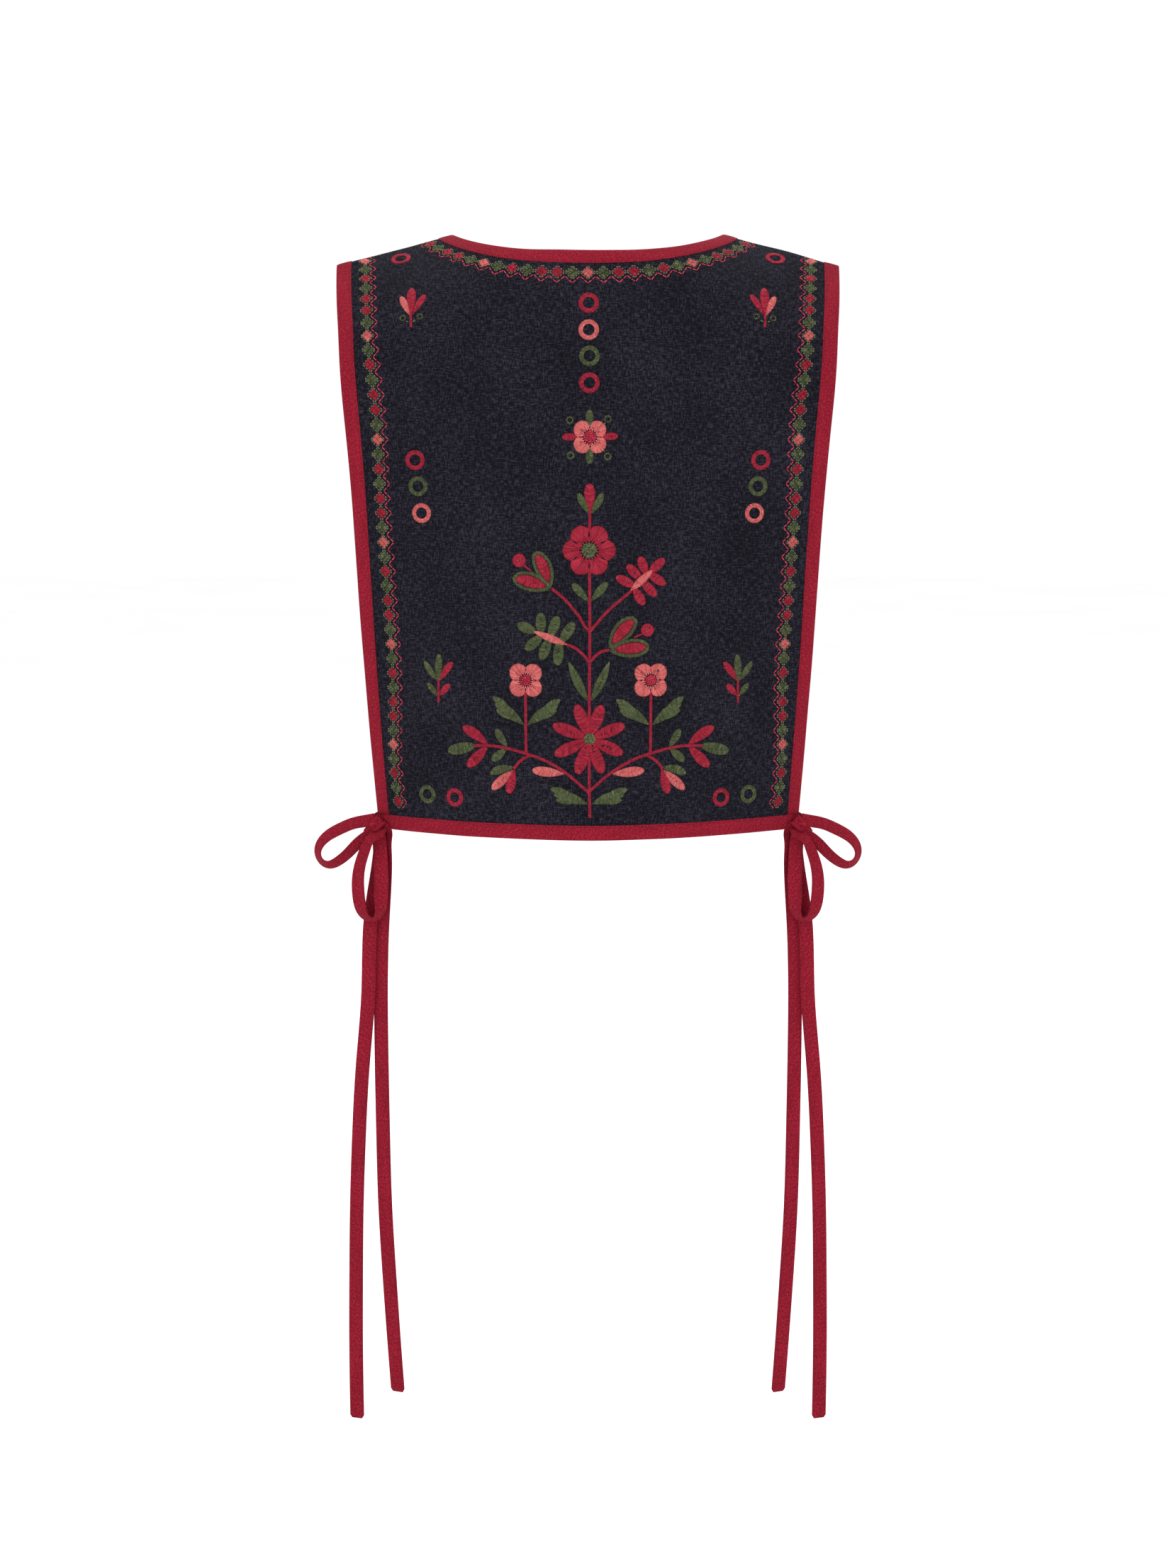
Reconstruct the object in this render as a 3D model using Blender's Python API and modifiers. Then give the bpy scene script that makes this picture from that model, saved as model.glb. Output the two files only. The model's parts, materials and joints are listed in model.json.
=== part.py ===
"""Embroidered folk vest: a hollow tabard of two linen panels, bound all round, tied with a bow at each hem corner.

Metres, +Z up. The origin is midway between the two neck points, level with the shoulder ridge,
where the wearer's shoulders carry the vest. The back panel faces -Y and the front panel +Y.

Every point of the cloth has two measures: across, from 0 at the centre line to 1 at a side edge, and
run, from -1 at the back hem over 0 at the shoulder ridge to 1 at the front hem. The right half is worked
out, and mirrored.
"""

import bpy
import numpy as np

VEST_NAME = "embroidered_folk_vest"

# Cut sizes.
NECK_HALF = 0.1155
SHOULDER_HALF = 0.213
BAND = 0.012
WALL = 0.001
SEAM_GAP = 0.0003
RIDGE_RELIEF = 0.0002
INSIDE_EASE = 0.0003
BACK_NECK_DROP = 0.0845
FRONT_NECK_DROP = 0.132
BACK_NECK_ROUNDNESS = 1.6
FRONT_NECK_ROUNDNESS = 0.95

# How far the cloth wraps round the body: 1 is a plain fold at the centre, larger keeps the middle flat.
WRAP_POWER = 1.7
# How gently the ridge line rounds over the centre line, as a share of the half width.
RIDGE_ROUNDING = 0.25

# Side view of the cloth at the centre line, over the open neck: depth y, height z.
CENTRE_BACK = (
    (-0.0400, 0.0110),
    (-0.0740, -0.0120),
    (-0.0935, -0.0560),
    (-0.1030, -0.1260),
    (-0.1030, -0.2200),
    (-0.1005, -0.3200),
    (-0.0975, -0.4200),
    (-0.0940, -0.5065),
)
CENTRE_RIDGE = (0.0, 0.0200)
CENTRE_FRONT = (
    (0.0450, 0.0080),
    (0.0830, -0.0400),
    (0.1010, -0.0850),
    (0.1140, -0.1500),
    (0.1180, -0.2200),
    (0.1140, -0.3200),
    (0.1050, -0.4200),
    (0.0970, -0.5065),
)

# Side view of the cloth at its side edge: depth y, height z.
EDGE_BACK = (
    (-0.0060, -0.0295),
    (-0.0210, -0.0415),
    (-0.0394, -0.0584),
    (-0.0552, -0.0782),
    (-0.0675, -0.1000),
    (-0.0730, -0.1250),
    (-0.0710, -0.1600),
    (-0.0600, -0.2250),
    (-0.0450, -0.3200),
    (-0.0310, -0.4150),
    (-0.0180, -0.5065),
)
EDGE_RIDGE = (0.0, -0.0265)
EDGE_FRONT = (
    (0.0060, -0.0295),
    (0.0220, -0.0430),
    (0.0430, -0.0650),
    (0.0580, -0.0930),
    (0.0670, -0.1350),
    (0.0690, -0.1900),
    (0.0620, -0.2700),
    (0.0480, -0.3500),
    (0.0320, -0.4300),
    (0.0140, -0.5065),
)

# Half width of the flat cloth down each panel: share of the way from ridge to hem, half width.
BACK_WIDTHS = ((0.0, 0.2130), (0.13, 0.2112), (0.30, 0.2063), (0.45, 0.2040), (0.70, 0.2023), (1.0, 0.1985))
FRONT_WIDTHS = ((0.0, 0.2130), (0.13, 0.2120), (0.30, 0.2095), (0.50, 0.2075), (0.75, 0.2055), (1.0, 0.2025))

# Broad soft folds, pressed inwards on both sides alike: panel (-1 back, 1 front), distance from the
# centre line, height above the hem, half width, half length, depth and lean (metres out for each metre up).
FOLDS = (
    (-1, 0.101, 0.290, 0.026, 0.120, 0.0038, -0.04),
    (-1, 0.152, 0.160, 0.018, 0.080, 0.0018, -0.12),
    (1, 0.095, 0.210, 0.026, 0.120, 0.0042, 0.06),
    (1, 0.158, 0.120, 0.020, 0.070, 0.0020, -0.10),
)

# Mesh density.
NECK_STEPS = 9
NECK_LAST_DROPS = (0.09, 0.03)
SHOULDER_SHARES = (0.0, 0.25, 0.5, 0.75)
ROW_SHARES = (
    0.0, 0.005, 0.015, 0.032, 0.055, 0.085, 0.12, 0.16, 0.205, 0.26, 0.33, 0.41, 0.49, 0.57, 0.65, 0.73, 0.81, 0.89, 0.95,
)
FOLD_ANGLES = (45.0, 90.0, 135.0)
WELD_DISTANCE = 0.00002
MIRROR_MERGE = 0.00005
SLOPE_STEP = 0.002
# Order and weight of each term of the series for the square root of one less a square, integrated.
WIDTH_SERIES = ((1, 1 / 2), (2, 1 / 8), (3, 1 / 16), (4, 5 / 128))
KNOT_RINGS = 10
KNOT_SEGMENTS = 14
TIE_CELL = 0.016
LOOP_CELL = 0.006
LEAD_STATIONS = 5

# Ties of the left bow, seen from behind: x, depth y, height z, and turn, the angle in degrees
# between the band's face and the view from behind. The right bow mirrors them.
TIE_WIDTH = 0.0122
TIE_WALL = 0.0012
KNOT_CENTRE = (-0.1838, -0.0261, -0.5050)
KNOT_RADII = (0.0052, 0.0055, 0.0098)
KNOT_LEAN = -42.0
SIDE_LOOP = (
    (-0.1900, -0.0262, -0.5000, 38.0),
    (-0.2020, -0.0268, -0.5022, 42.0),
    (-0.2134, -0.0280, -0.5068, 42.0),
    (-0.2256, -0.0295, -0.5140, 48.0),
    (-0.2324, -0.0305, -0.5246, 58.0),
    (-0.2307, -0.0310, -0.5333, 60.0),
    (-0.2240, -0.0312, -0.5376, 50.0),
    (-0.2148, -0.0312, -0.5344, 42.0),
    (-0.2050, -0.0308, -0.5262, 38.0),
    (-0.1975, -0.0300, -0.5185, 36.0),
    (-0.1907, -0.0285, -0.5130, 40.0),
)
DROP_LOOP = (
    (-0.1810, -0.0359, -0.5110, 66.0),
    (-0.1860, -0.0371, -0.5132, 54.0),
    (-0.1905, -0.0375, -0.5205, 44.0),
    (-0.1950, -0.0375, -0.5335, 38.0),
    (-0.1975, -0.0370, -0.5460, 30.0),
    (-0.1977, -0.0365, -0.5600, 24.0),
    (-0.1962, -0.0360, -0.5728, 30.0),
    (-0.1922, -0.0350, -0.5822, 52.0),
    (-0.1851, -0.0332, -0.5853, 62.0),
    (-0.1798, -0.0318, -0.5794, 50.0),
    (-0.1784, -0.0315, -0.5683, 20.0),
    (-0.1780, -0.0315, -0.5530, 8.0),
    (-0.1784, -0.0310, -0.5370, 6.0),
    (-0.1790, -0.0300, -0.5250, 10.0),
    (-0.1800, -0.0285, -0.5150, 16.0),
)
SHORT_TIE = (
    (-0.1726, -0.0235, -0.5090, 50.0),
    (-0.1730, -0.0232, -0.5160, 48.0),
    (-0.1736, -0.0226, -0.5300, 42.0),
    (-0.1747, -0.0220, -0.5520, 30.0),
    (-0.1772, -0.0215, -0.5829, 12.0),
    (-0.1795, -0.0210, -0.6514, 4.0),
    (-0.1793, -0.0205, -0.7140, 0.0),
    (-0.1785, -0.0200, -0.7769, -6.0),
    (-0.1771, -0.0200, -0.8401, -4.0),
    (-0.1738, -0.0200, -0.9036, 0.0),
    (-0.1698, -0.0200, -0.9675, 8.0),
    (-0.1670, -0.0200, -1.0078, 10.0),
)
LONG_TIE = (
    (-0.1800, -0.0202, -0.5091, 38.0),
    (-0.1806, -0.0222, -0.5300, 32.0),
    (-0.1835, -0.0245, -0.5541, 20.0),
    (-0.1874, -0.0250, -0.5820, 8.0),
    (-0.1903, -0.0252, -0.6505, 0.0),
    (-0.1954, -0.0252, -0.7130, -4.0),
    (-0.1992, -0.0252, -0.7758, 0.0),
    (-0.2016, -0.0252, -0.8389, 6.0),
    (-0.2027, -0.0250, -0.9024, 4.0),
    (-0.2032, -0.0250, -0.9661, 0.0),
    (-0.2027, -0.0250, -1.0301, -6.0),
)
FRONT_LEAD = (
    (-0.1803, 0.0134, -0.5014),
    (-0.1842, 0.0085, -0.5016),
    (-0.1867, 0.0000, -0.5021),
    (-0.1867, -0.0100, -0.5027),
    (-0.1854, -0.0205, -0.5029),
)

# Colours as linear red, green, blue, and roughness.
LINEN_COLOUR = (0.018, 0.015, 0.023, 1.0)
LINEN_ROUGHNESS = 0.9
BINDING_COLOUR = (0.28, 0.018, 0.033, 1.0)
BINDING_ROUGHNESS = 0.8


def clear_scene():
    for obj in list(bpy.data.objects):
        bpy.data.objects.remove(obj, do_unlink=True)


def cloth_material(name, colour, roughness):
    material = bpy.data.materials.new(name)
    material.use_nodes = True
    material.diffuse_color = colour
    shader = material.node_tree.nodes["Principled BSDF"]
    shader.inputs["Base Color"].default_value = colour
    shader.inputs["Roughness"].default_value = roughness
    shader.inputs["Metallic"].default_value = 0.0
    return material


class SmoothLine:
    """A natural cubic spline through points, read by its own knots, which grow with the straight distance."""

    def __init__(self, points, knots=None):
        self.points = np.asarray(points, float)
        if knots is None:
            steps = np.linalg.norm(np.diff(self.points, axis=0), axis=1)
            knots = np.concatenate([[0.0], np.cumsum(steps)])
        self.knots = np.asarray(knots, float)
        count = len(self.knots)
        gap = np.diff(self.knots)
        matrix = np.eye(count)
        rows = np.arange(1, count - 1)
        matrix[rows, rows - 1] = gap[:-1]
        matrix[rows, rows] = 2.0 * (gap[:-1] + gap[1:])
        matrix[rows, rows + 1] = gap[1:]
        slope = np.diff(self.points, axis=0) / gap[:, None]
        right = np.zeros_like(self.points)
        right[1:-1] = 6.0 * np.diff(slope, axis=0)
        self.bend = np.linalg.solve(matrix, right)

    def __call__(self, at):
        at = np.asarray(at, float)
        low = np.clip(np.searchsorted(self.knots, at, side="right") - 1, 0, len(self.knots) - 2)
        gap = (self.knots[low + 1] - self.knots[low])[..., None]
        left = (self.knots[low + 1] - at)[..., None]
        right = (at - self.knots[low])[..., None]
        bends = (left**3 * self.bend[low] + right**3 * self.bend[low + 1]) / (6.0 * gap)
        start = (self.points[low] / gap - self.bend[low] * gap / 6.0) * left
        end = (self.points[low + 1] / gap - self.bend[low + 1] * gap / 6.0) * right
        return bends + start + end


class Profile:
    """A side view of the cloth, read by run: -1 back hem, 0 ridge, 1 front hem, even in length on each side."""

    SAMPLES = 1200

    def __init__(self, back, ridge, front):
        points = list(reversed(back)) + [ridge] + list(front)
        self.line = SmoothLine(points)
        self.ridge = self.line.knots[len(back)]
        self.at = np.linspace(0.0, self.line.knots[-1], self.SAMPLES)
        places = self.line(self.at)
        steps = np.linalg.norm(np.diff(places, axis=0), axis=1)
        length = np.concatenate([[0.0], np.cumsum(steps)])
        middle = np.interp(self.ridge, self.at, length)
        self.back_length = middle
        self.front_length = length[-1] - middle
        self.run = np.where(length < middle, (length - middle) / middle, (length - middle) / self.front_length)

    def __call__(self, run):
        return self.line(np.interp(run, self.run, self.at))


CENTRE = Profile(CENTRE_BACK, CENTRE_RIDGE, CENTRE_FRONT)
EDGE = Profile(EDGE_BACK, EDGE_RIDGE, EDGE_FRONT)


def half_width(run):
    """Half width of the flat cloth: a smooth line through the table of the panel that run lies on."""
    share = np.abs(run)
    found = []
    for table in (BACK_WIDTHS, FRONT_WIDTHS):
        shares, widths = np.array(table).T
        found.append(SmoothLine(widths[:, None], shares)(share)[..., 0])
    return np.where(run < 0, found[0], found[1])


def slant(across):
    """How far a row has dropped from the centre line to the side edge: rounded at the middle, straight outside."""
    top = np.sqrt(across**2 + RIDGE_ROUNDING**2) - RIDGE_ROUNDING
    return top / (np.sqrt(1.0 + RIDGE_ROUNDING**2) - RIDGE_ROUNDING)


def column_length(across, run):
    """Length of the cloth from the ridge to the hem, at this place across."""
    centre = np.where(run < 0, CENTRE.back_length, CENTRE.front_length)
    edge = np.where(run < 0, EDGE.back_length, EDGE.front_length)
    return centre + (edge - centre) * slant(across)


def fold_depth(across, run):
    """Sum of the soft folds: each is a Gaussian hollow across its width and along its length."""
    aside = across * half_width(run)
    height = (1.0 - np.abs(run)) * column_length(across, run)
    total = np.zeros(np.broadcast(aside, height).shape)
    for panel, centre, level, wide, long, depth, lean in FOLDS:
        line = centre + lean * (height - level)
        hollow = depth * np.exp(-(((aside - line) / wide) ** 2) - ((height - level) / long) ** 2)
        total = total - panel * hollow * (np.sign(run) == panel)
    return total


def cloth(across, run):
    """Outer face of the cloth.

    Depth goes from the centre profile to the edge profile as the power of the place across, height goes
    by the slant, and the width is what is left of the flat width when that depth is taken from it: the
    integral of the square root of one less the squared slope, as a series.
    """
    across, run = np.broadcast_arrays(np.asarray(across, float), np.asarray(run, float))
    away = np.abs(across)
    centre = CENTRE(run)
    edge = EDGE(run)
    wide = half_width(run)
    reach = edge[..., 0] - centre[..., 0]
    slope = WRAP_POWER * reach / wide
    power = 2.0 * WRAP_POWER - 2.0
    width = away.copy()
    for order, weight in WIDTH_SERIES:
        width -= weight * slope ** (2 * order) * away ** (order * power + 1.0) / (order * power + 1.0)
    x = np.sign(across) * wide * width
    y = centre[..., 0] + reach * away**WRAP_POWER + fold_depth(across, run)
    z = centre[..., 1] + (edge[..., 1] - centre[..., 1]) * slant(away)
    return np.stack([x, y, z], axis=-1)


def slopes(across, run):
    """The two directions in which the cloth runs at a place, per unit of across and of run."""
    step = SLOPE_STEP
    side = (cloth(across + step, run) - cloth(across - step, run)) / (2.0 * step)
    down = (cloth(across, run + step) - cloth(across, run - step)) / (2.0 * step)
    return side, down


def outward(across, run):
    """Unit vector that points away from the hollow: the cross product of the two slopes."""
    side, down = slopes(across, run)
    normal = np.cross(side, down)
    return normal / np.linalg.norm(normal, axis=-1, keepdims=True)


def stepped(across, run, direction, distance):
    """The place on the cloth a distance away in a direction that lies in it, by the two slopes there."""
    side, down = slopes(across, run)
    ss = np.sum(side * side, -1)
    dd = np.sum(down * down, -1)
    sd = np.sum(side * down, -1)
    along_side = np.sum(direction * side, -1) * distance
    along_down = np.sum(direction * down, -1) * distance
    whole = ss * dd - sd * sd
    return (
        across + (along_side * dd - along_down * sd) / whole,
        run + (along_down * ss - along_side * sd) / whole,
    )


def neckline(panel):
    """Neck edge of one panel from the centre line to the neck point: an ellipse in the flat cloth."""
    drop = BACK_NECK_DROP if panel < 0 else FRONT_NECK_DROP
    roundness = BACK_NECK_ROUNDNESS if panel < 0 else FRONT_NECK_ROUNDNESS
    last = np.arccos(np.array(NECK_LAST_DROPS) ** (1.0 / roundness))
    turn = np.concatenate([np.linspace(0.0, last[0], NECK_STEPS), last[1:], [np.pi / 2.0]])
    aside = NECK_HALF * np.sin(turn)
    down = drop * np.cos(turn) ** roundness
    down[-1] = 0.0
    across = aside / SHOULDER_HALF
    for _ in range(3):
        run = panel * down / column_length(across, np.full_like(across, panel))
        across = aside / half_width(run)
    return across, run


def edge_offset(panel, across, run, distance):
    """Places a distance into the cloth from the neckline, square to it."""
    points = cloth(across, run)
    tangent = np.gradient(points, axis=0)
    tangent[0] = (1.0, 0.0, 0.0)
    tangent[-1] = (0.0, -panel, 0.0)
    tangent /= np.linalg.norm(tangent, axis=-1, keepdims=True)
    inward = np.cross(outward(across, run), tangent) * panel
    inner_across, inner_run = stepped(across, run, inward, distance)
    inner_across[0] = 0.0
    inner_run[-1] = 0.0
    return inner_across, inner_run


def ridge_start(panel):
    """Run at which a panel starts, so that the two panels lie a seam gap apart over the ridge."""
    return panel * (SEAM_GAP / 2.0 + RIDGE_RELIEF) / EDGE.back_length


def hem_runs(across, panel):
    """Runs of the hem band's top, middle and lower edge at each place across."""
    length = column_length(across, np.full_like(across, panel))
    return [panel * (1.0 - part * BAND / length) for part in (1.0, 0.5, 0.0)]


def panel_columns(panel):
    """Places across where columns start below the neck band and along the shoulder, and where they end."""
    neck_across, neck_run = neckline(panel)
    rings = [edge_offset(panel, neck_across, neck_run, part * BAND) for part in (0.0, 0.5, 1.0)]
    start_across, start_run = rings[2]
    first = start_across[-1]
    last = 1.0 - BAND / SHOULDER_HALF
    shoulder = first + (last - first) * np.array(SHOULDER_SHARES[1:])
    tail = np.array([last, 1.0 - 0.5 * BAND / SHOULDER_HALF, 1.0])
    more = np.concatenate([shoulder, tail])
    top_across = np.concatenate([start_across, more])
    top_run = np.concatenate([start_run, np.zeros(len(more))])
    least = np.abs(ridge_start(panel))
    top_run = panel * np.maximum(np.abs(top_run), least)
    return rings, top_across, top_run


def panel_grid(panel):
    """Main grid of a panel, rows by columns, from the neck band's lower edge and the ridge to the hem."""
    rings, top_across, top_run = panel_columns(panel)
    hem = hem_runs(top_across, panel)
    rows_across = []
    rows_run = []
    for part in ROW_SHARES:
        rows_across.append(top_across)
        rows_run.append(top_run + (hem[0] - top_run) * part)
    for level in hem:
        rows_across.append(top_across)
        rows_run.append(level)
    return rings, edge_kept(np.array(rows_across), np.array(rows_run)), np.array(rows_run)


def edge_kept(across, run):
    """Columns near the side edge keep their distance from it in metres as the cloth narrows."""
    inset = (1.0 - across) * SHOULDER_HALF
    near = inset < BAND * 1.01
    return np.where(near, 1.0 - inset / half_width(run), across)


def neck_strip(panel, rings):
    """Grid between the neckline and the lower edge of its band."""
    least = np.abs(ridge_start(panel))
    across = np.array([ring[0] for ring in rings])
    run = panel * np.maximum(np.abs([ring[1] for ring in rings]), least)
    return cloth(across, run)


def grid_faces(rows, columns, first=0, flip=False):
    """Quads of a grid of points, counted row by row."""
    index = first + np.arange(rows * columns).reshape(rows, columns)
    quads = np.stack([index[:-1, :-1], index[:-1, 1:], index[1:, 1:], index[1:, :-1]], axis=-1).reshape(-1, 4)
    return quads[:, ::-1] if flip else quads


def make_object(name, grids, flips, material, collection, wall, offset, mirror=False):
    """A sheet from grids of points that share their edges, mirrored if asked, and given its wall by Solidify."""
    points = []
    faces = []
    for grid, flip in zip(grids, flips):
        rows, columns = grid.shape[:2]
        faces.extend(grid_faces(rows, columns, len(points), flip).tolist())
        points.extend(grid.reshape(-1, 3).tolist())
    mesh = bpy.data.meshes.new(name)
    mesh.from_pydata(points, [], faces)
    mesh.materials.append(material)
    obj = bpy.data.objects.new(name, mesh)
    collection.objects.link(obj)
    weld = obj.modifiers.new("Weld", "WELD")
    weld.merge_threshold = WELD_DISTANCE
    if mirror:
        mirrored = obj.modifiers.new("Mirror", "MIRROR")
        mirrored.merge_threshold = MIRROR_MERGE
    thickness = obj.modifiers.new("Wall", "SOLIDIFY")
    thickness.thickness = wall
    thickness.offset = offset
    thickness.use_even_offset = True
    mesh.shade_smooth()
    return obj


def wrapped(edge_across, edge_run, insets):
    """U-section grid round an edge: outer face, fold and inner face, kept a seam gap from the panel.

    insets holds the places at the band's inner edge, its middle and the edge itself, each as a pair of
    across and run. The fold is a half circle about the middle of the panel's wall.
    """
    lift = SEAM_GAP
    outer = [cloth(a, r) + outward(a, r) * lift for a, r in insets]
    inner = [cloth(a, r) - outward(a, r) * (WALL + lift + INSIDE_EASE) for a, r in insets]
    edge = cloth(edge_across, edge_run)
    normal = outward(edge_across, edge_run)
    middle = edge - normal * WALL / 2.0
    beyond = cloth(*insets[2]) - cloth(*insets[1])
    beyond -= np.sum(beyond * normal, -1, keepdims=True) * normal
    beyond /= np.linalg.norm(beyond, axis=-1, keepdims=True)
    outer_radius = WALL / 2.0 + lift
    fold = []
    for angle in np.radians(FOLD_ANGLES):
        radius = outer_radius + (INSIDE_EASE if angle > np.pi / 2.0 else 0.0)
        fold.append(middle + radius * np.cos(angle) * normal + outer_radius * np.sin(angle) * beyond)
    return np.array(outer + fold + inner[::-1])


def neck_band():
    """Half of the neck ring, from the centre back over the ridge to the centre front."""
    stations = []
    for panel in (-1, 1):
        across, run = neckline(panel)
        rings = [edge_offset(panel, across, run, part * BAND) for part in (1.0, 0.5, 0.0)]
        least = np.abs(ridge_start(panel))
        order = slice(None) if panel < 0 else slice(None, None, -1)
        stations.append([(a[order], (panel * np.maximum(np.abs(r), least))[order]) for a, r in rings])
    insets = [
        (np.concatenate([back[0], front[0]]), np.concatenate([back[1], front[1]]))
        for back, front in zip(*stations)
    ]
    grid = wrapped(insets[2][0], insets[2][1], insets)
    grid[:, 0, 0] = 0.0
    grid[:, -1, 0] = 0.0
    return grid


def side_band():
    """Band along the right side edge, from the back hem band over the shoulder to the front hem band."""
    runs = []
    for panel in (-1, 1):
        _, _, rows = panel_grid(panel)
        column = rows[:-2, -1].copy()
        length = EDGE.back_length if panel < 0 else EDGE.front_length
        column[-1] = panel * (1.0 - (BAND + SEAM_GAP) / length)
        runs.append(column[::-1] if panel < 0 else column)
    run = np.concatenate(runs)
    insets = [(1.0 - part * BAND / half_width(run), run) for part in (1.0, 0.5, 0.0)]
    return wrapped(insets[2][0], run, insets)


def hem_band(panel):
    """Half of a hem band, from the centre line to the side edge."""
    _, across_rows, run_rows = panel_grid(panel)
    insets = [(across_rows[row], run_rows[row]) for row in (-3, -2, -1)]
    grid = wrapped(insets[2][0], insets[2][1], insets)
    grid[:, 0, 0] = 0.0
    return grid


def ribbon(rows, cell):
    """A flat band along a smooth line.

    Its width lies square to the line as seen from behind, and turns into the depth by the turn angle:
    the cosine times the left-hand direction plus the sine times the depth axis.
    """
    line = SmoothLine(np.asarray(rows, float)[:, :3])
    turns = SmoothLine(np.asarray(rows, float)[:, 3:4], line.knots)
    count = max(int(np.ceil(line.knots[-1] / cell)), 3) + 1
    at = np.linspace(0.0, line.knots[-1], count)
    centre = line(at)
    ahead = np.gradient(centre, axis=0)
    flat = np.stack([ahead[:, 2], np.zeros(count), -ahead[:, 0]], axis=-1)
    size = np.linalg.norm(flat, axis=-1, keepdims=True)
    flat = flat / np.maximum(size, 1e-9)
    turn = np.radians(turns(at))
    aside = np.cos(turn) * flat + np.sin(turn) * np.array([0.0, 1.0, 0.0])
    ahead /= np.linalg.norm(ahead, axis=-1, keepdims=True)
    aside -= np.sum(aside * ahead, -1, keepdims=True) * ahead
    aside /= np.linalg.norm(aside, axis=-1, keepdims=True)
    half = aside * TIE_WIDTH / 2.0
    return np.stack([centre - half, centre, centre + half])


def lead_ribbon(rows):
    """The hidden band from the front hem corner to the knot: upright, along the depth."""
    line = SmoothLine(np.asarray(rows, float)[:, :3])
    at = np.linspace(0.0, line.knots[-1], LEAD_STATIONS)
    centre = line(at)
    aside = np.array([0.0, 0.0, TIE_WIDTH / 2.0])
    return np.stack([centre - aside, centre, centre + aside])


def knot_grid():
    """A rounded knuckle: an ellipsoid, longest along the lean of the wrap, as rings of points."""
    polar = np.linspace(0.0, np.pi, KNOT_RINGS + 1)[:, None]
    around = np.linspace(0.0, 2.0 * np.pi, KNOT_SEGMENTS + 1)[None, :]
    local = np.stack(
        [
            KNOT_RADII[0] * np.sin(polar) * np.cos(around),
            KNOT_RADII[1] * np.sin(polar) * np.sin(around),
            KNOT_RADII[2] * np.cos(polar) * np.ones_like(around),
        ],
        axis=-1,
    )
    lean = np.radians(KNOT_LEAN)
    x = local[..., 0] * np.cos(lean) - local[..., 2] * np.sin(lean)
    z = local[..., 0] * np.sin(lean) + local[..., 2] * np.cos(lean)
    return np.stack([x, local[..., 1], z], axis=-1) + np.array(KNOT_CENTRE)


def mirrored(grid):
    return grid * np.array([-1.0, 1.0, 1.0])


def add_panels(linen, collection):
    for panel, name in ((-1, "back_panel"), (1, "front_panel")):
        rings, across, run = panel_grid(panel)
        main = cloth(across, run)
        strip = neck_strip(panel, rings)
        main[:, 0, 0] = 0.0
        strip[:, 0, 0] = 0.0
        flip = panel < 0
        make_object(name, [main, strip], [flip, flip], linen, collection, WALL, -1.0, mirror=True)


def add_bands(crimson, collection):
    make_object("neck_binding", [neck_band()], [False], crimson, collection, WALL, 1.0, mirror=True)
    side = side_band()
    make_object("right_side_binding", [side], [True], crimson, collection, WALL, 1.0)
    make_object("left_side_binding", [mirrored(side)], [False], crimson, collection, WALL, 1.0)
    for panel, name in ((-1, "back_hem_binding"), (1, "front_hem_binding")):
        flip = panel < 0
        make_object(name, [hem_band(panel)], [flip], crimson, collection, WALL, 1.0, mirror=True)


def add_bow(side, crimson, collection):
    """One bow: its knot, two loops, two free ends and the lead from the front hem."""
    prefix = "left" if side < 0 else "right"
    pieces = {
        "side_loop": ribbon(SIDE_LOOP, LOOP_CELL),
        "drop_loop": ribbon(DROP_LOOP, LOOP_CELL),
        "short_tie": ribbon(SHORT_TIE, TIE_CELL),
        "long_tie": ribbon(LONG_TIE, TIE_CELL),
        "front_lead": lead_ribbon(FRONT_LEAD),
    }
    for name, grid in pieces.items():
        placed = grid if side < 0 else mirrored(grid)
        make_object(f"{prefix}_{name}", [placed], [side > 0], crimson, collection, TIE_WALL, 0.0)
    knot = knot_grid() if side < 0 else mirrored(knot_grid())
    add_knot(f"{prefix}_knot", knot, side < 0, crimson, collection)


def add_knot(name, grid, flip, material, collection):
    """The knot is closed by itself, so it takes no wall: its seam and poles are welded."""
    rows, columns = grid.shape[:2]
    mesh = bpy.data.meshes.new(name)
    mesh.from_pydata(grid.reshape(-1, 3).tolist(), [], grid_faces(rows, columns, 0, flip).tolist())
    mesh.materials.append(material)
    obj = bpy.data.objects.new(name, mesh)
    collection.objects.link(obj)
    weld = obj.modifiers.new("Weld", "WELD")
    weld.merge_threshold = WELD_DISTANCE
    mesh.shade_smooth()


def main():
    clear_scene()
    collection = bpy.data.collections.new(VEST_NAME)
    bpy.context.scene.collection.children.link(collection)
    linen = cloth_material("dark_linen", LINEN_COLOUR, LINEN_ROUGHNESS)
    crimson = cloth_material("crimson_binding", BINDING_COLOUR, BINDING_ROUGHNESS)
    add_panels(linen, collection)
    add_bands(crimson, collection)
    for side in (-1, 1):
        add_bow(side, crimson, collection)


main()
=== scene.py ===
"""Looks of the embroidered folk vest: linen shells, bias bands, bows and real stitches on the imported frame.

Metres, +Z up, and the back panel faces -Y, as in the photograph. The cloth is worked out as in the solids:
across runs from -1 at the left side edge over 0 at the centre line to 1 at the right, and run from -1 at the
back hem over 0 at the shoulder ridge to 1 at the front hem. Embroidery is charted on the flat cloth: aside is
the distance from the centre line and up is the height above the hem along the cloth.
"""

import json

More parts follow.
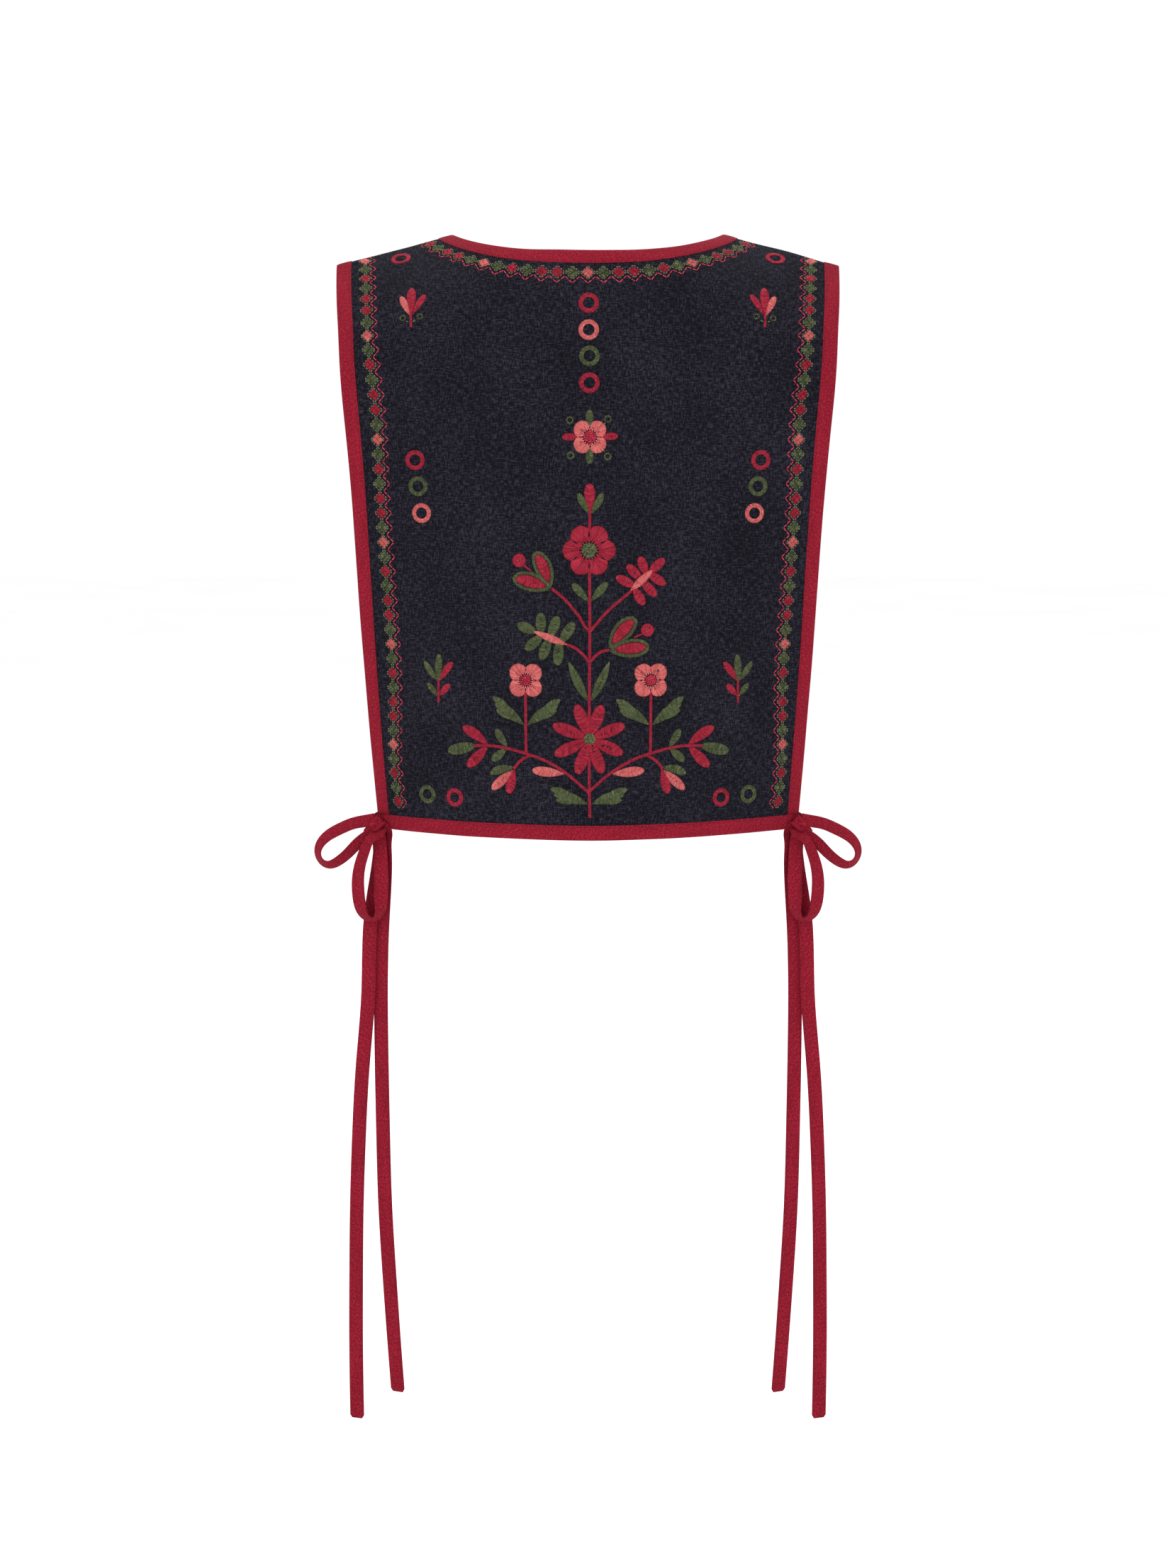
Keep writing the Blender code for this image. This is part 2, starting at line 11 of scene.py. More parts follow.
import bmesh
import bpy
import numpy as np
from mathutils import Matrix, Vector

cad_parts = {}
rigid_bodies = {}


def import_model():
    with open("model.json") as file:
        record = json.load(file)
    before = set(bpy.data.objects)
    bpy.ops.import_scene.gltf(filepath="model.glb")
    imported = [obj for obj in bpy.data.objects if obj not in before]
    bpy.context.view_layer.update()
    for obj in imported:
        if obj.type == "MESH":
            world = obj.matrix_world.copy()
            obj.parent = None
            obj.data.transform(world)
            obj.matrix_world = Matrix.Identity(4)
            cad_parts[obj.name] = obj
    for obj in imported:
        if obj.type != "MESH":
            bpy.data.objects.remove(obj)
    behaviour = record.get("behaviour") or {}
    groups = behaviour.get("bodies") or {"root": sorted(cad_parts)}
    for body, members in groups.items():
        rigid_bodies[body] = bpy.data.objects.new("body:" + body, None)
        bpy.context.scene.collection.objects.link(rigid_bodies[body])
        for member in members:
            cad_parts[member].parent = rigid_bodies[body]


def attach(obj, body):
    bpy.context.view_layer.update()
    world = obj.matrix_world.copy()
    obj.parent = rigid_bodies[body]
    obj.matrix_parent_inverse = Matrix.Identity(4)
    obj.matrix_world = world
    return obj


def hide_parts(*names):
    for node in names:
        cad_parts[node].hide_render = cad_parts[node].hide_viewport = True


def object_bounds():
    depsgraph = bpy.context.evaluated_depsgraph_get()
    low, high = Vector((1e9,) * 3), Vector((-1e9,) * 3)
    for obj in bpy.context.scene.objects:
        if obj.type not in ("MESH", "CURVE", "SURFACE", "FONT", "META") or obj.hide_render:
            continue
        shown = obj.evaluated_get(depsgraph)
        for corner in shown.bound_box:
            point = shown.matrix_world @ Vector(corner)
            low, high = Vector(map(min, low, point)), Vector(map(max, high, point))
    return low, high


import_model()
CAD_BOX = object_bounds()

# Camera, fitted to the photograph: place, aim, and focal length in the pixels of its 2212 pixel height.
CAMERA_PLACE = (0.0, -3.5, 0.0)
CAMERA_AIM = (0.0, 0.0, -0.4717)
FOCAL_PIXELS = 5751.0
PHOTO_HEIGHT = 2212.0
SENSOR_HEIGHT = 36.0
FLOOR_DROP = 0.012
FLOOR_HALF = 9.0
WORLD_STRENGTH = 1.02
# Lights: name, place, size, power. All of them point at one place.
LIGHTS = (
    ("key", (-1.6, -2.6, 1.3), 1.8, 34.0),
    ("fill", (2.2, -2.2, 0.4), 2.0, 16.0),
    ("top", (0.0, 0.6, 2.2), 1.6, 18.0),
    ("far", (0.6, 2.8, 0.8), 1.8, 22.0),
)
LIGHT_AIM = (0.0, 0.0, -0.35)

# Cut sizes, as in the solids.
NECK_HALF = 0.1155
SHOULDER_HALF = 0.213
BAND = 0.012
BACK_NECK_DROP = 0.0845
FRONT_NECK_DROP = 0.132
BACK_NECK_ROUNDNESS = 1.6
FRONT_NECK_ROUNDNESS = 0.95
WRAP_POWER = 1.7
RIDGE_ROUNDING = 0.25
LINEN_THICK = 0.0007
# First terms of the series of the square root of one less x: power, weight.
ROOT_SERIES = ((1, 1 / 2), (2, 1 / 8), (3, 1 / 16), (4, 5 / 128))
SLOPE_STEP = 2e-3
FLAT_ROUNDS = 4
NECK_ROUNDS = 3

# Side view of the cloth at the centre line: depth y, height z.
CENTRE_BACK = (
    (-0.0400, 0.0110),
    (-0.0740, -0.0120),
    (-0.0935, -0.0560),
    (-0.1030, -0.1260),
    (-0.1030, -0.2200),
    (-0.1005, -0.3200),
    (-0.0975, -0.4200),
    (-0.0940, -0.5065),
)
CENTRE_RIDGE = (0.0, 0.0200)
CENTRE_FRONT = (
    (0.0450, 0.0080),
    (0.0830, -0.0400),
    (0.1010, -0.0850),
    (0.1140, -0.1500),
    (0.1180, -0.2200),
    (0.1140, -0.3200),
    (0.1050, -0.4200),
    (0.0970, -0.5065),
)

# Side view of the cloth at its side edge: depth y, height z.
EDGE_BACK = (
    (-0.0060, -0.0295),
    (-0.0210, -0.0415),
    (-0.0394, -0.0584),
    (-0.0552, -0.0782),
    (-0.0675, -0.1000),
    (-0.0730, -0.1250),
    (-0.0710, -0.1600),
    (-0.0600, -0.2250),
    (-0.0450, -0.3200),
    (-0.0310, -0.4150),
    (-0.0180, -0.5065),
)
EDGE_RIDGE = (0.0, -0.0265)
EDGE_FRONT = (
    (0.0060, -0.0295),
    (0.0220, -0.0430),
    (0.0430, -0.0650),
    (0.0580, -0.0930),
    (0.0670, -0.1350),
    (0.0690, -0.1900),
    (0.0620, -0.2700),
    (0.0480, -0.3500),
    (0.0320, -0.4300),
    (0.0140, -0.5065),
)

# Half width of the flat cloth down each panel: share of the way from ridge to hem, half width.
BACK_WIDTHS = ((0.0, 0.2130), (0.13, 0.2112), (0.30, 0.2063), (0.45, 0.2040), (0.70, 0.2023), (1.0, 0.1985))
FRONT_WIDTHS = ((0.0, 0.2130), (0.13, 0.2120), (0.30, 0.2095), (0.50, 0.2075), (0.75, 0.2055), (1.0, 0.2025))

# Broad folds of the solids, on both sides alike: panel (-1 back, 1 front), aside, height above the hem,
# half width, half length, depth and lean.
FOLDS = (
    (-1, 0.101, 0.290, 0.026, 0.120, 0.0038, -0.04),
    (-1, 0.152, 0.160, 0.018, 0.080, 0.0018, -0.12),
    (1, 0.095, 0.210, 0.026, 0.120, 0.0042, 0.06),
    (1, 0.158, 0.120, 0.020, 0.070, 0.0020, -0.10),
)

# Soft creases, given one by one, uneven: panel, aside, up, half width, half length, height outwards and
# the angle in degrees from straight down towards +X.
CREASES = (
    (-1, -0.022, 0.345, 0.0040, 0.026, 0.0007, 36.0),
    (-1, -0.030, 0.262, 0.0030, 0.013, -0.0006, -40.0),
    (-1, -0.062, 0.395, 0.0080, 0.070, -0.0008, 10.0),
    (-1, 0.047, 0.330, 0.0070, 0.060, 0.0006, -8.0),
    (-1, 0.076, 0.200, 0.0060, 0.050, -0.0006, 14.0),
    (-1, -0.088, 0.165, 0.0070, 0.055, 0.0006, -12.0),
    (-1, 0.148, 0.420, 0.0080, 0.050, 0.0009, 22.0),
    (-1, -0.152, 0.405, 0.0080, 0.046, 0.0008, -20.0),
    (-1, 0.020, 0.085, 0.0090, 0.050, -0.0007, 60.0),
    (-1, -0.120, 0.050, 0.0060, 0.040, 0.0006, 70.0),
    (-1, 0.135, 0.060, 0.0060, 0.036, -0.0006, -65.0),
    (1, -0.040, 0.330, 0.0060, 0.060, 0.0010, 18.0),
    (1, 0.052, 0.290, 0.0070, 0.070, -0.0010, -12.0),
    (1, -0.085, 0.180, 0.0070, 0.060, 0.0009, -10.0),
    (1, 0.015, 0.150, 0.0080, 0.060, 0.0008, 24.0),
    (1, 0.110, 0.120, 0.0070, 0.050, 0.0008, 16.0),
    (1, -0.140, 0.400, 0.0080, 0.050, -0.0009, 14.0),
    (1, 0.146, 0.410, 0.0080, 0.050, 0.0009, -20.0),
    (1, -0.030, 0.060, 0.0070, 0.040, -0.0007, 66.0),
)
# Slow waves of the hanging cloth: wavelength aside and up, phase, height.
WAVES = (
    (0.173, 0.410, 0.4, 0.00035),
    (0.097, -0.290, 1.9, 0.00022),
    (-0.061, 0.151, 3.1, 0.00012),
    (0.043, 0.083, 5.0, 0.00007),
)


def clear_of_frame():
    """Nothing of the startup scene stays but the frame."""
    for obj in list(bpy.data.objects):
        if obj.name in ("Cube", "Light", "Camera"):
            bpy.data.objects.remove(obj, do_unlink=True)


class SmoothLine:
    """A natural cubic spline through points, read by its own knots, which grow with the straight distance."""

    def __init__(self, points, knots=None):
        self.points = np.asarray(points, float)
        if knots is None:
            steps = np.linalg.norm(np.diff(self.points, axis=0), axis=1)
            knots = np.concatenate([[0.0], np.cumsum(steps)])
        self.knots = np.asarray(knots, float)
        gap = np.diff(self.knots)
        count = len(self.knots)
        matrix = np.eye(count)
        rows = np.arange(1, count - 1)
        matrix[rows, rows - 1] = gap[:-1]
        matrix[rows, rows] = 2.0 * (gap[:-1] + gap[1:])
        matrix[rows, rows + 1] = gap[1:]
        right = np.zeros_like(self.points)
        right[1:-1] = 6.0 * np.diff(np.diff(self.points, axis=0) / gap[:, None], axis=0)
        self.bend = np.linalg.solve(matrix, right)

    def __call__(self, at):
        at = np.asarray(at, float)
        low = np.clip(np.searchsorted(self.knots, at, side="right") - 1, 0, len(self.knots) - 2)
        gap = (self.knots[low + 1] - self.knots[low])[..., None]
        left = (self.knots[low + 1] - at)[..., None]
        right = (at - self.knots[low])[..., None]
        bends = (left**3 * self.bend[low] + right**3 * self.bend[low + 1]) / (6.0 * gap)
        start = (self.points[low] / gap - self.bend[low] * gap / 6.0) * left
        end = (self.points[low + 1] / gap - self.bend[low + 1] * gap / 6.0) * right
        return bends + start + end


class Profile:
    """A side view of the cloth, read by run, which is even in length on each side of the ridge."""

    SAMPLES = 1200

    def __init__(self, back, ridge, front):
        self.line = SmoothLine(list(reversed(back)) + [ridge] + list(front))
        self.at = np.linspace(0.0, self.line.knots[-1], self.SAMPLES)
        steps = np.linalg.norm(np.diff(self.line(self.at), axis=0), axis=1)
        length = np.concatenate([[0.0], np.cumsum(steps)])
        self.back_length = np.interp(self.line.knots[len(back)], self.at, length)
        self.front_length = length[-1] - self.back_length
        past = length - self.back_length
        self.run = np.where(past < 0.0, past / self.back_length, past / self.front_length)

    def __call__(self, run):
        return self.line(np.interp(run, self.run, self.at))


def table_line(table):
    """A smooth line through a table: its first column is the knots, its second the values."""
    table = np.array(table)
    return SmoothLine(table[:, 1:], table[:, 0])


CENTRE = Profile(CENTRE_BACK, CENTRE_RIDGE, CENTRE_FRONT)
EDGE = Profile(EDGE_BACK, EDGE_RIDGE, EDGE_FRONT)
WIDTH_LINES = (table_line(BACK_WIDTHS), table_line(FRONT_WIDTHS))


def half_width(run):
    """Half width of the flat cloth: a smooth line through the table of the panel that run lies on."""
    share = np.abs(run)
    return np.where(run < 0, WIDTH_LINES[0](share)[..., 0], WIDTH_LINES[1](share)[..., 0])


def slant(across):
    """How far a row has dropped from centre line to side edge: rounded at the middle, straight outside."""
    top = np.sqrt(across**2 + RIDGE_ROUNDING**2) - RIDGE_ROUNDING
    return top / (np.sqrt(1.0 + RIDGE_ROUNDING**2) - RIDGE_ROUNDING)


def column_length(across, run):
    """Length of the cloth from the ridge to the hem, at this place across."""
    centre = np.where(run < 0, CENTRE.back_length, CENTRE.front_length)
    edge = np.where(run < 0, EDGE.back_length, EDGE.front_length)
    return centre + (edge - centre) * slant(across)


def to_flat(across, run):
    """Aside and up, in metres on the flat cloth, of a place given by across and run."""
    return across * half_width(run), (1.0 - np.abs(run)) * column_length(across, run)


def from_flat(panel, aside, up):
    """Across and run of a place charted on one flat panel, found in a few rounds."""
    aside, up = np.broadcast_arrays(np.asarray(aside, float), np.asarray(up, float))
    across = aside / SHOULDER_HALF
    for _ in range(FLAT_ROUNDS):
        run = panel * (1.0 - up / column_length(across, np.full_like(across, panel)))
        across = aside / half_width(np.where(run == 0.0, panel * 1e-9, run))
    return across, run


def broad_folds(across, run):
    """Depth of the broad folds: Gaussian hollows across their width and along their length."""
    aside, height = to_flat(np.abs(across), run)
    total = np.zeros(aside.shape)
    for panel, centre, level, wide, long, depth, lean in FOLDS:
        line = centre + lean * (height - level)
        hollow = depth * np.exp(-(((aside - line) / wide) ** 2) - ((height - level) / long) ** 2)
        total = total - panel * hollow * (np.sign(run) == panel)
    return total


def cloth(across, run):
    """Face of the cloth before its small creases, as in the solids.

    Depth goes from the centre profile to the edge profile as a power of the place across, height goes by
    the slant, and the width is the integral of the square root of one less the squared slope, as a series.
    """
    across, run = np.broadcast_arrays(np.asarray(across, float), np.asarray(run, float))
    away = np.abs(across)
    centre = CENTRE(run)
    edge = EDGE(run)
    wide = half_width(run)
    reach = edge[..., 0] - centre[..., 0]
    slope = WRAP_POWER * reach / wide
    power = 2.0 * WRAP_POWER - 2.0
    width = away.copy()
    for order, weight in ROOT_SERIES:
        width -= weight * slope ** (2 * order) * away ** (order * power + 1.0) / (order * power + 1.0)
    x = np.sign(across) * wide * width
    y = centre[..., 0] + reach * away**WRAP_POWER + broad_folds(across, run)
    z = centre[..., 1] + (edge[..., 1] - centre[..., 1]) * slant(away)
    return np.stack([x, y, z], axis=-1)


def slopes(across, run):
    """The two directions in which the cloth runs at a place, per unit of across and of run."""
    side = (cloth(across + SLOPE_STEP, run) - cloth(across - SLOPE_STEP, run)) / (2.0 * SLOPE_STEP)
    down = (cloth(across, run + SLOPE_STEP) - cloth(across, run - SLOPE_STEP)) / (2.0 * SLOPE_STEP)
    return side, down


def unit(vectors):
    """The same directions with a length of one."""
    return vectors / np.maximum(np.linalg.norm(vectors, axis=-1, keepdims=True), 1e-12)


def square_to(normal, direction):
    """What is left of a direction without its part along the normal, as a unit vector."""
    direction = unit(direction)
    return unit(direction - np.sum(direction * normal, -1, keepdims=True) * normal)


def outward(across, run):
    """Unit vector away from the hollow: the cross product of the two slopes."""
    return unit(np.cross(*slopes(across, run)))


def creased(across, run):
    """Height of the small creases and slow waves above the smooth cloth.

    Each crease is a Gaussian ridge, narrow across its line and long along it; the waves are sines.
    """
    aside, up = to_flat(across, run)
    total = np.zeros(aside.shape)
    for panel, centre, level, wide, long, height, degrees in CREASES:
        turn = np.radians(degrees)
        along = (up - level) * np.cos(turn) - (aside - centre) * np.sin(turn)
        over = (aside - centre) * np.cos(turn) + (up - level) * np.sin(turn)
        ridge = height * np.exp(-((over / wide) ** 2) - (along / long) ** 2)
        total = total + ridge * (np.sign(run) == panel)
    for over, down, phase, height in WAVES:
        total = total + height * np.sin(2.0 * np.pi * (aside / over + up / down) + phase)
    return total


def face(across, run, lift=0.0):
    """Points on the linen's outer face, raised by lift along its normal."""
    return cloth(across, run) + outward(across, run) * (creased(across, run) + lift)[..., None]


def stepped(across, run, direction, distance):
    """The place a distance away in a direction that lies in the cloth, by the two slopes there."""
    side, down = slopes(across, run)
    ss = np.sum(side * side, -1)
    dd = np.sum(down * down, -1)
    sd = np.sum(side * down, -1)
    along_side = np.sum(direction * side, -1) * distance
    along_down = np.sum(direction * down, -1) * distance
    whole = ss * dd - sd * sd
    over = (along_side * dd - along_down * sd) / whole
    past = (along_down * ss - along_side * sd) / whole
    return across + over, run + past


NECK_STEPS = 34
NECK_LAST_DROPS = (0.09, 0.06, 0.03, 0.012)
# How far bands and borders keep off the ridge, and how far each linen panel laps over it.
RIDGE_GAP = 0.0002
RIDGE_LAP = 0.0004


def off_ridge(panel, run):
    """Run on the panel's own side of the ridge, a hair or more away from it."""
    return panel * np.maximum(np.abs(run), RIDGE_GAP / EDGE.back_length)


def neckline(panel):
    """Neck edge of one panel from the centre line to the neck point: an ellipse in the flat cloth."""
    drop = BACK_NECK_DROP if panel < 0 else FRONT_NECK_DROP
    roundness = BACK_NECK_ROUNDNESS if panel < 0 else FRONT_NECK_ROUNDNESS
    last = np.arccos(np.array(NECK_LAST_DROPS) ** (1.0 / roundness))
    turn = np.concatenate([np.linspace(0.0, last[0], NECK_STEPS), last[1:], [np.pi / 2.0]])
    aside = NECK_HALF * np.sin(turn)
    down = drop * np.cos(turn) ** roundness
    down[-1] = 0.0
    across = aside / SHOULDER_HALF
    for _ in range(NECK_ROUNDS):
        run = panel * down / column_length(across, np.full_like(across, panel))
        across = aside / half_width(run)
    return across, run


def neck_inset(panel, across, run, distance):
    """Places a distance into the cloth from the neckline, square to it."""
    points = cloth(across, run)
    tangent = np.gradient(points, axis=0)
    tangent[0] = (1.0, 0.0, 0.0)
    tangent[-1] = (0.0, -panel, 0.0)
    inward = np.cross(outward(across, run), unit(tangent)) * panel
    inner_across, inner_run = stepped(across, run, inward, distance)
    inner_across[0] = 0.0
    inner_run[-1] = 0.0
    return inner_across, off_ridge(panel, inner_run)


def new_piece(name, points, faces, material, uv=None, tone=None, replaces=()):
    """A smooth-shaded mesh from whole arrays: points, faces as index arrays, flat coordinates and a tone."""
    mesh = bpy.data.meshes.new(name)
    points = np.asarray(points, np.float32).reshape(-1, 3)
    loops = np.concatenate([group.ravel() for group in faces]).astype(np.int32)
    sizes = np.concatenate([np.full(len(group), group.shape[1]) for group in faces])
    mesh.vertices.add(len(points))
    mesh.vertices.foreach_set("co", points.ravel())
    mesh.loops.add(len(loops))
    mesh.loops.foreach_set("vertex_index", loops)
    mesh.polygons.add(len(sizes))
    mesh.polygons.foreach_set("loop_start", (np.cumsum(sizes) - sizes).astype(np.int32))
    if uv is not None:
        layer = mesh.uv_layers.new(name="flat")
        layer.data.foreach_set("uv", np.asarray(uv, np.float32).reshape(-1, 2)[loops].ravel())
    if tone is not None:
        mesh.attributes.new("tone", "FLOAT", "POINT").data.foreach_set("value", np.asarray(tone, np.float32))
    mesh.update(calc_edges=True)
    mesh.shade_smooth()
    mesh.materials.append(material)
    obj = bpy.data.objects.new(name, mesh)
    bpy.context.scene.collection.objects.link(obj)
    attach(obj, "root")
    if replaces:
        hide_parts(*replaces)
    return obj


def grid_index(rows, columns, first=0, around=False, closed=False):
    """Numbers of a grid of points, row by row. Around repeats the first row, closed the first column."""
    index = first + np.arange(rows * columns).reshape(rows, columns)
    if closed:
        index = np.concatenate([index, index[:, :1]], axis=1)
    if around:
        index = np.concatenate([index, index[:1]])
    return index


def grid_faces(index, flip=False):
    """Quads between neighbours in a grid of point numbers."""
    quads = np.stack([index[:-1, :-1], index[:-1, 1:], index[1:, 1:], index[1:, :-1]], axis=-1).reshape(-1, 4)
    return quads[:, ::-1] if flip else quads


WELD = 2e-5


def merged(obj):
    """Points of the mesh that lie closer than a weld are joined."""
    work = bmesh.new()
    work.from_mesh(obj.data)
    bmesh.ops.remove_doubles(work, verts=work.verts, dist=WELD)
    work.to_mesh(obj.data)
    work.free()


# Materials.


def add_node(tree, kind, inputs=None, **settings):
    """A node with its settings, and its inputs set to a value or linked to another node's output."""
    made = tree.nodes.new(kind)
    for key, value in settings.items():
        setattr(made, key, value)
    for key, value in (inputs or {}).items():
        if isinstance(value, bpy.types.NodeSocket):
            tree.links.new(value, made.inputs[key])
        else:
            made.inputs[key].default_value = value
    return made


def blank_material(name, roughness, specular):
    """A Principled material with its constants on its own sockets."""
    material = bpy.data.materials.new(name)
    material.use_nodes = True
    tree = material.node_tree
    shader = tree.nodes["Principled BSDF"]
    shader.inputs["Roughness"].default_value = roughness
    shader.inputs["Specular IOR Level"].default_value = specular
    return material, tree, shader


def flat_map(tree):
    """Coordinates of the flat cloth, in metres."""
    return add_node(tree, "ShaderNodeUVMap", uv_map="flat").outputs["UV"]


def finish_material(tree, shader, colour, height, strength, distance):
    """Colour and height linked to the shader, the height as a bump."""
    tree.links.new(colour, shader.inputs["Base Color"])
    bump = add_node(tree, "ShaderNodeBump", {"Height": height, "Strength": strength, "Distance": distance})
    tree.links.new(bump.outputs["Normal"], shader.inputs["Normal"])


def stretched_noise(tree, vector, scale, detail, rough):
    """Noise on coordinates scaled apart along each axis, for threads that run one way."""
    mapped = add_node(tree, "ShaderNodeMapping", {"Vector": vector, "Scale": scale})
    inputs = {"Vector": mapped.outputs["Vector"], "Scale": 1.0, "Detail": detail, "Roughness": rough}
    return add_node(tree, "ShaderNodeTexNoise", inputs).outputs["Fac"]


def maths(tree, operation, first, second=0.0):
    """One step of arithmetic on values or outputs."""
    return add_node(tree, "ShaderNodeMath", {0: first, 1: second}, operation=operation).outputs[0]


def plus(tree, first, second, weight):
    """The first value and the second times its weight."""
    return maths(tree, "ADD", first, maths(tree, "MULTIPLY", second, weight))


def mean(tree, first, second):
    """Halfway between two values."""
    return maths(tree, "MULTIPLY", maths(tree, "ADD", first, second), 0.5)


def centred(tree, noise):
    """Noise moved so that its middle is 0."""
    return maths(tree, "SUBTRACT", noise, 0.5)


def ramp(tree, value, places, colours):
    """Colours at places between 0 and 1."""
    made = add_node(tree, "ShaderNodeValToRGB", {"Fac": value})
    elements = made.color_ramp.elements
    for _ in range(len(places) - 2):
        elements.new(0.5)
    for element, place, colour in zip(elements, places, colours):
        element.position = place
        element.color = (*colour, 1.0)
    return made.outputs["Color"]


def weave(tree, flat, pitch, turn):
    """Plain weave height: the sine over one thread set times the sine over the other, turned by degrees."""
    mapping = {"Vector": flat, "Rotation": (0.0, 0.0, np.radians(turn))}
    turned = add_node(tree, "ShaderNodeMapping", mapping).outputs["Vector"]
    split = add_node(tree, "ShaderNodeSeparateXYZ", {"Vector": turned})
    waves = []
    for axis in ("X", "Y"):
        angle = maths(tree, "MULTIPLY", split.outputs[axis], np.pi / pitch)
        waves.append(maths(tree, "SINE", angle))
    return turned, maths(tree, "MULTIPLY", waves[0], waves[1])


# Shares of the slow and the coarse noise in the shade of each cloth, and its colours from dark to light.
LINEN_CLOUDS = 0.22
LINEN_SLUBS = 0.55
LINEN_PLACES = (0.36, 0.51, 0.67)
LINEN_COLOURS = ((0.0024, 0.0021, 0.0042), (0.0068, 0.0059, 0.0108), (0.025, 0.023, 0.034))
BIAS_CLOUDS = 0.3
BIAS_FLECKS = 1.25
BIAS_PLACES = (0.26, 0.52, 0.78)
BIAS_COLOURS = ((0.125, 0.0030, 0.010), (0.205, 0.0055, 0.017), (0.30, 0.013, 0.030))
FLOSS_PLACES = (0.1, 0.5, 0.95)
FLOSS_COLOURS = {
    "crimson": ((0.12, 0.002, 0.009), (0.32, 0.0085, 0.030), (0.64, 0.050, 0.095)),
    "coral": ((0.31, 0.040, 0.045), (0.57, 0.115, 0.115), (0.86, 0.32, 0.28)),
    "green": ((0.018, 0.026, 0.010), (0.056, 0.074, 0.029), (0.23, 0.26, 0.11)),
}
# Sewing thread: a darker crimson, darkened further with painted shade of the grooves it lies in.
SEWING_AND_GROOVE_SHADE_COLOURS = ((0.045, 0.001, 0.004), (0.075, 0.002, 0.007), (0.14, 0.006, 0.014))
FLOOR_PLACES = (0.3, 0.7)
FLOOR_COLOURS = ((0.96, 0.96, 0.96), (0.985, 0.985, 0.985))
# Thread to thread in the weaves, and how often the strands of a floss repeat along and across a stitch.
LINEN_THREAD = 0.00055
BIAS_THREAD = 0.00045
STRAND_LENGTH = 0.0013
STRAND_WIDTH = 0.0005


def linen_material():
    """Dark linen: threads of uneven thickness both ways, slubs, and a plain weave in its height."""
    material, tree, shader = blank_material("dark_linen_cloth", 0.9, 0.10)
    flat = flat_map(tree)
    _, crossed = weave(tree, flat, LINEN_THREAD, 0.0)
    warp = stretched_noise(tree, flat, (2100.0, 230.0, 1.0), 3.0, 0.6)
    weft = stretched_noise(tree, flat, (200.0, 2300.0, 1.0), 3.0, 0.6)
    broad = stretched_noise(tree, flat, (18.0, 14.0, 1.0), 3.0, 0.5)
    slub_down = stretched_noise(tree, flat, (820.0, 210.0, 1.0), 1.0, 0.5)
    slub_over = stretched_noise(tree, flat, (210.0, 820.0, 1.0), 1.0, 0.5)
    mixed = mean(tree, warp, weft)
    slubs = maths(tree, "SUBTRACT", maths(tree, "ADD", slub_down, slub_over), 1.0)
    shade = plus(tree, mixed, slubs, LINEN_SLUBS)
    shade = plus(tree, shade, centred(tree, broad), LINEN_CLOUDS)
    colour = ramp(tree, shade, LINEN_PLACES, LINEN_COLOURS)
    finish_material(tree, shader, colour, plus(tree, mixed, crossed, 0.35), 0.35, 0.0004)
    return material


def bias_material():
    """Crimson bias band: a fine weave at forty-five degrees with small flecks and soft tone changes."""
    material, tree, shader = blank_material("crimson_bias_band", 0.8, 0.10)
    flat = flat_map(tree)
    turned, crossed = weave(tree, flat, BIAS_THREAD, 45.0)
    fine = stretched_noise(tree, turned, (1500.0, 240.0, 1.0), 2.0, 0.6)
    other = stretched_noise(tree, turned, (240.0, 1500.0, 1.0), 2.0, 0.6)
    broad = stretched_noise(tree, flat, (26.0, 70.0, 1.0), 2.0, 0.5)
    flecks = stretched_noise(tree, turned, (900.0, 620.0, 1.0), 1.0, 0.5)
    mixed = mean(tree, fine, other)
    shade = plus(tree, mixed, centred(tree, broad), BIAS_CLOUDS)
    shade = plus(tree, shade, centred(tree, flecks), BIAS_FLECKS)
    colour = ramp(tree, shade, BIAS_PLACES, BIAS_COLOURS)
    finish_material(tree, shader, colour, plus(tree, mixed, crossed, 0.4), 0.3, 0.0003)
    return material


def thread_material(name, colours):
    """Floss: its tone changes from stitch to stitch, and strands twist round each stitch as slanted sines, in
    its height and, as painted shade and light, in its colour.
    """
    material, tree, shader = blank_material(name, 0.5, 0.22)
    tone = add_node(tree, "ShaderNodeAttribute", attribute_name="tone").outputs["Fac"]
    flat = flat_map(tree)
    split = add_node(tree, "ShaderNodeSeparateXYZ", {"Vector": flat})
    along = maths(tree, "MULTIPLY", split.outputs["X"], 2.0 * np.pi / STRAND_LENGTH)
    twist = maths(tree, "MULTIPLY", split.outputs["Y"], 2.0 * np.pi / STRAND_WIDTH)
    strands = maths(tree, "SINE", maths(tree, "ADD", along, twist))
    fibres = stretched_noise(tree, flat, (700.0, 4200.0, 1.0), 2.0, 0.6)
    # The twist sine goes into the colour as well as the bump: painted shade and light along the strands,
    # beside the real fibre tone.
    fibres_and_twist_shade = plus(tree, maths(tree, "MULTIPLY", fibres, 0.5), strands, 0.10)
    shade = maths(tree, "ADD", tone, maths(tree, "SUBTRACT", fibres_and_twist_shade, 0.25))
    finish_material(tree, shader, ramp(tree, shade, FLOSS_PLACES, colours), fibres_and_twist_shade, 0.35, 0.0003)
    return material


def stage_object(name, data, place, aim):
    """A camera or a lamp at a place, turned towards its aim."""
    obj = bpy.data.objects.new(name, data)
    bpy.context.scene.collection.objects.link(obj)
    obj.location = place
    obj.rotation_euler = (Vector(aim) - Vector(place)).to_track_quat("-Z", "Y").to_euler()
    return obj


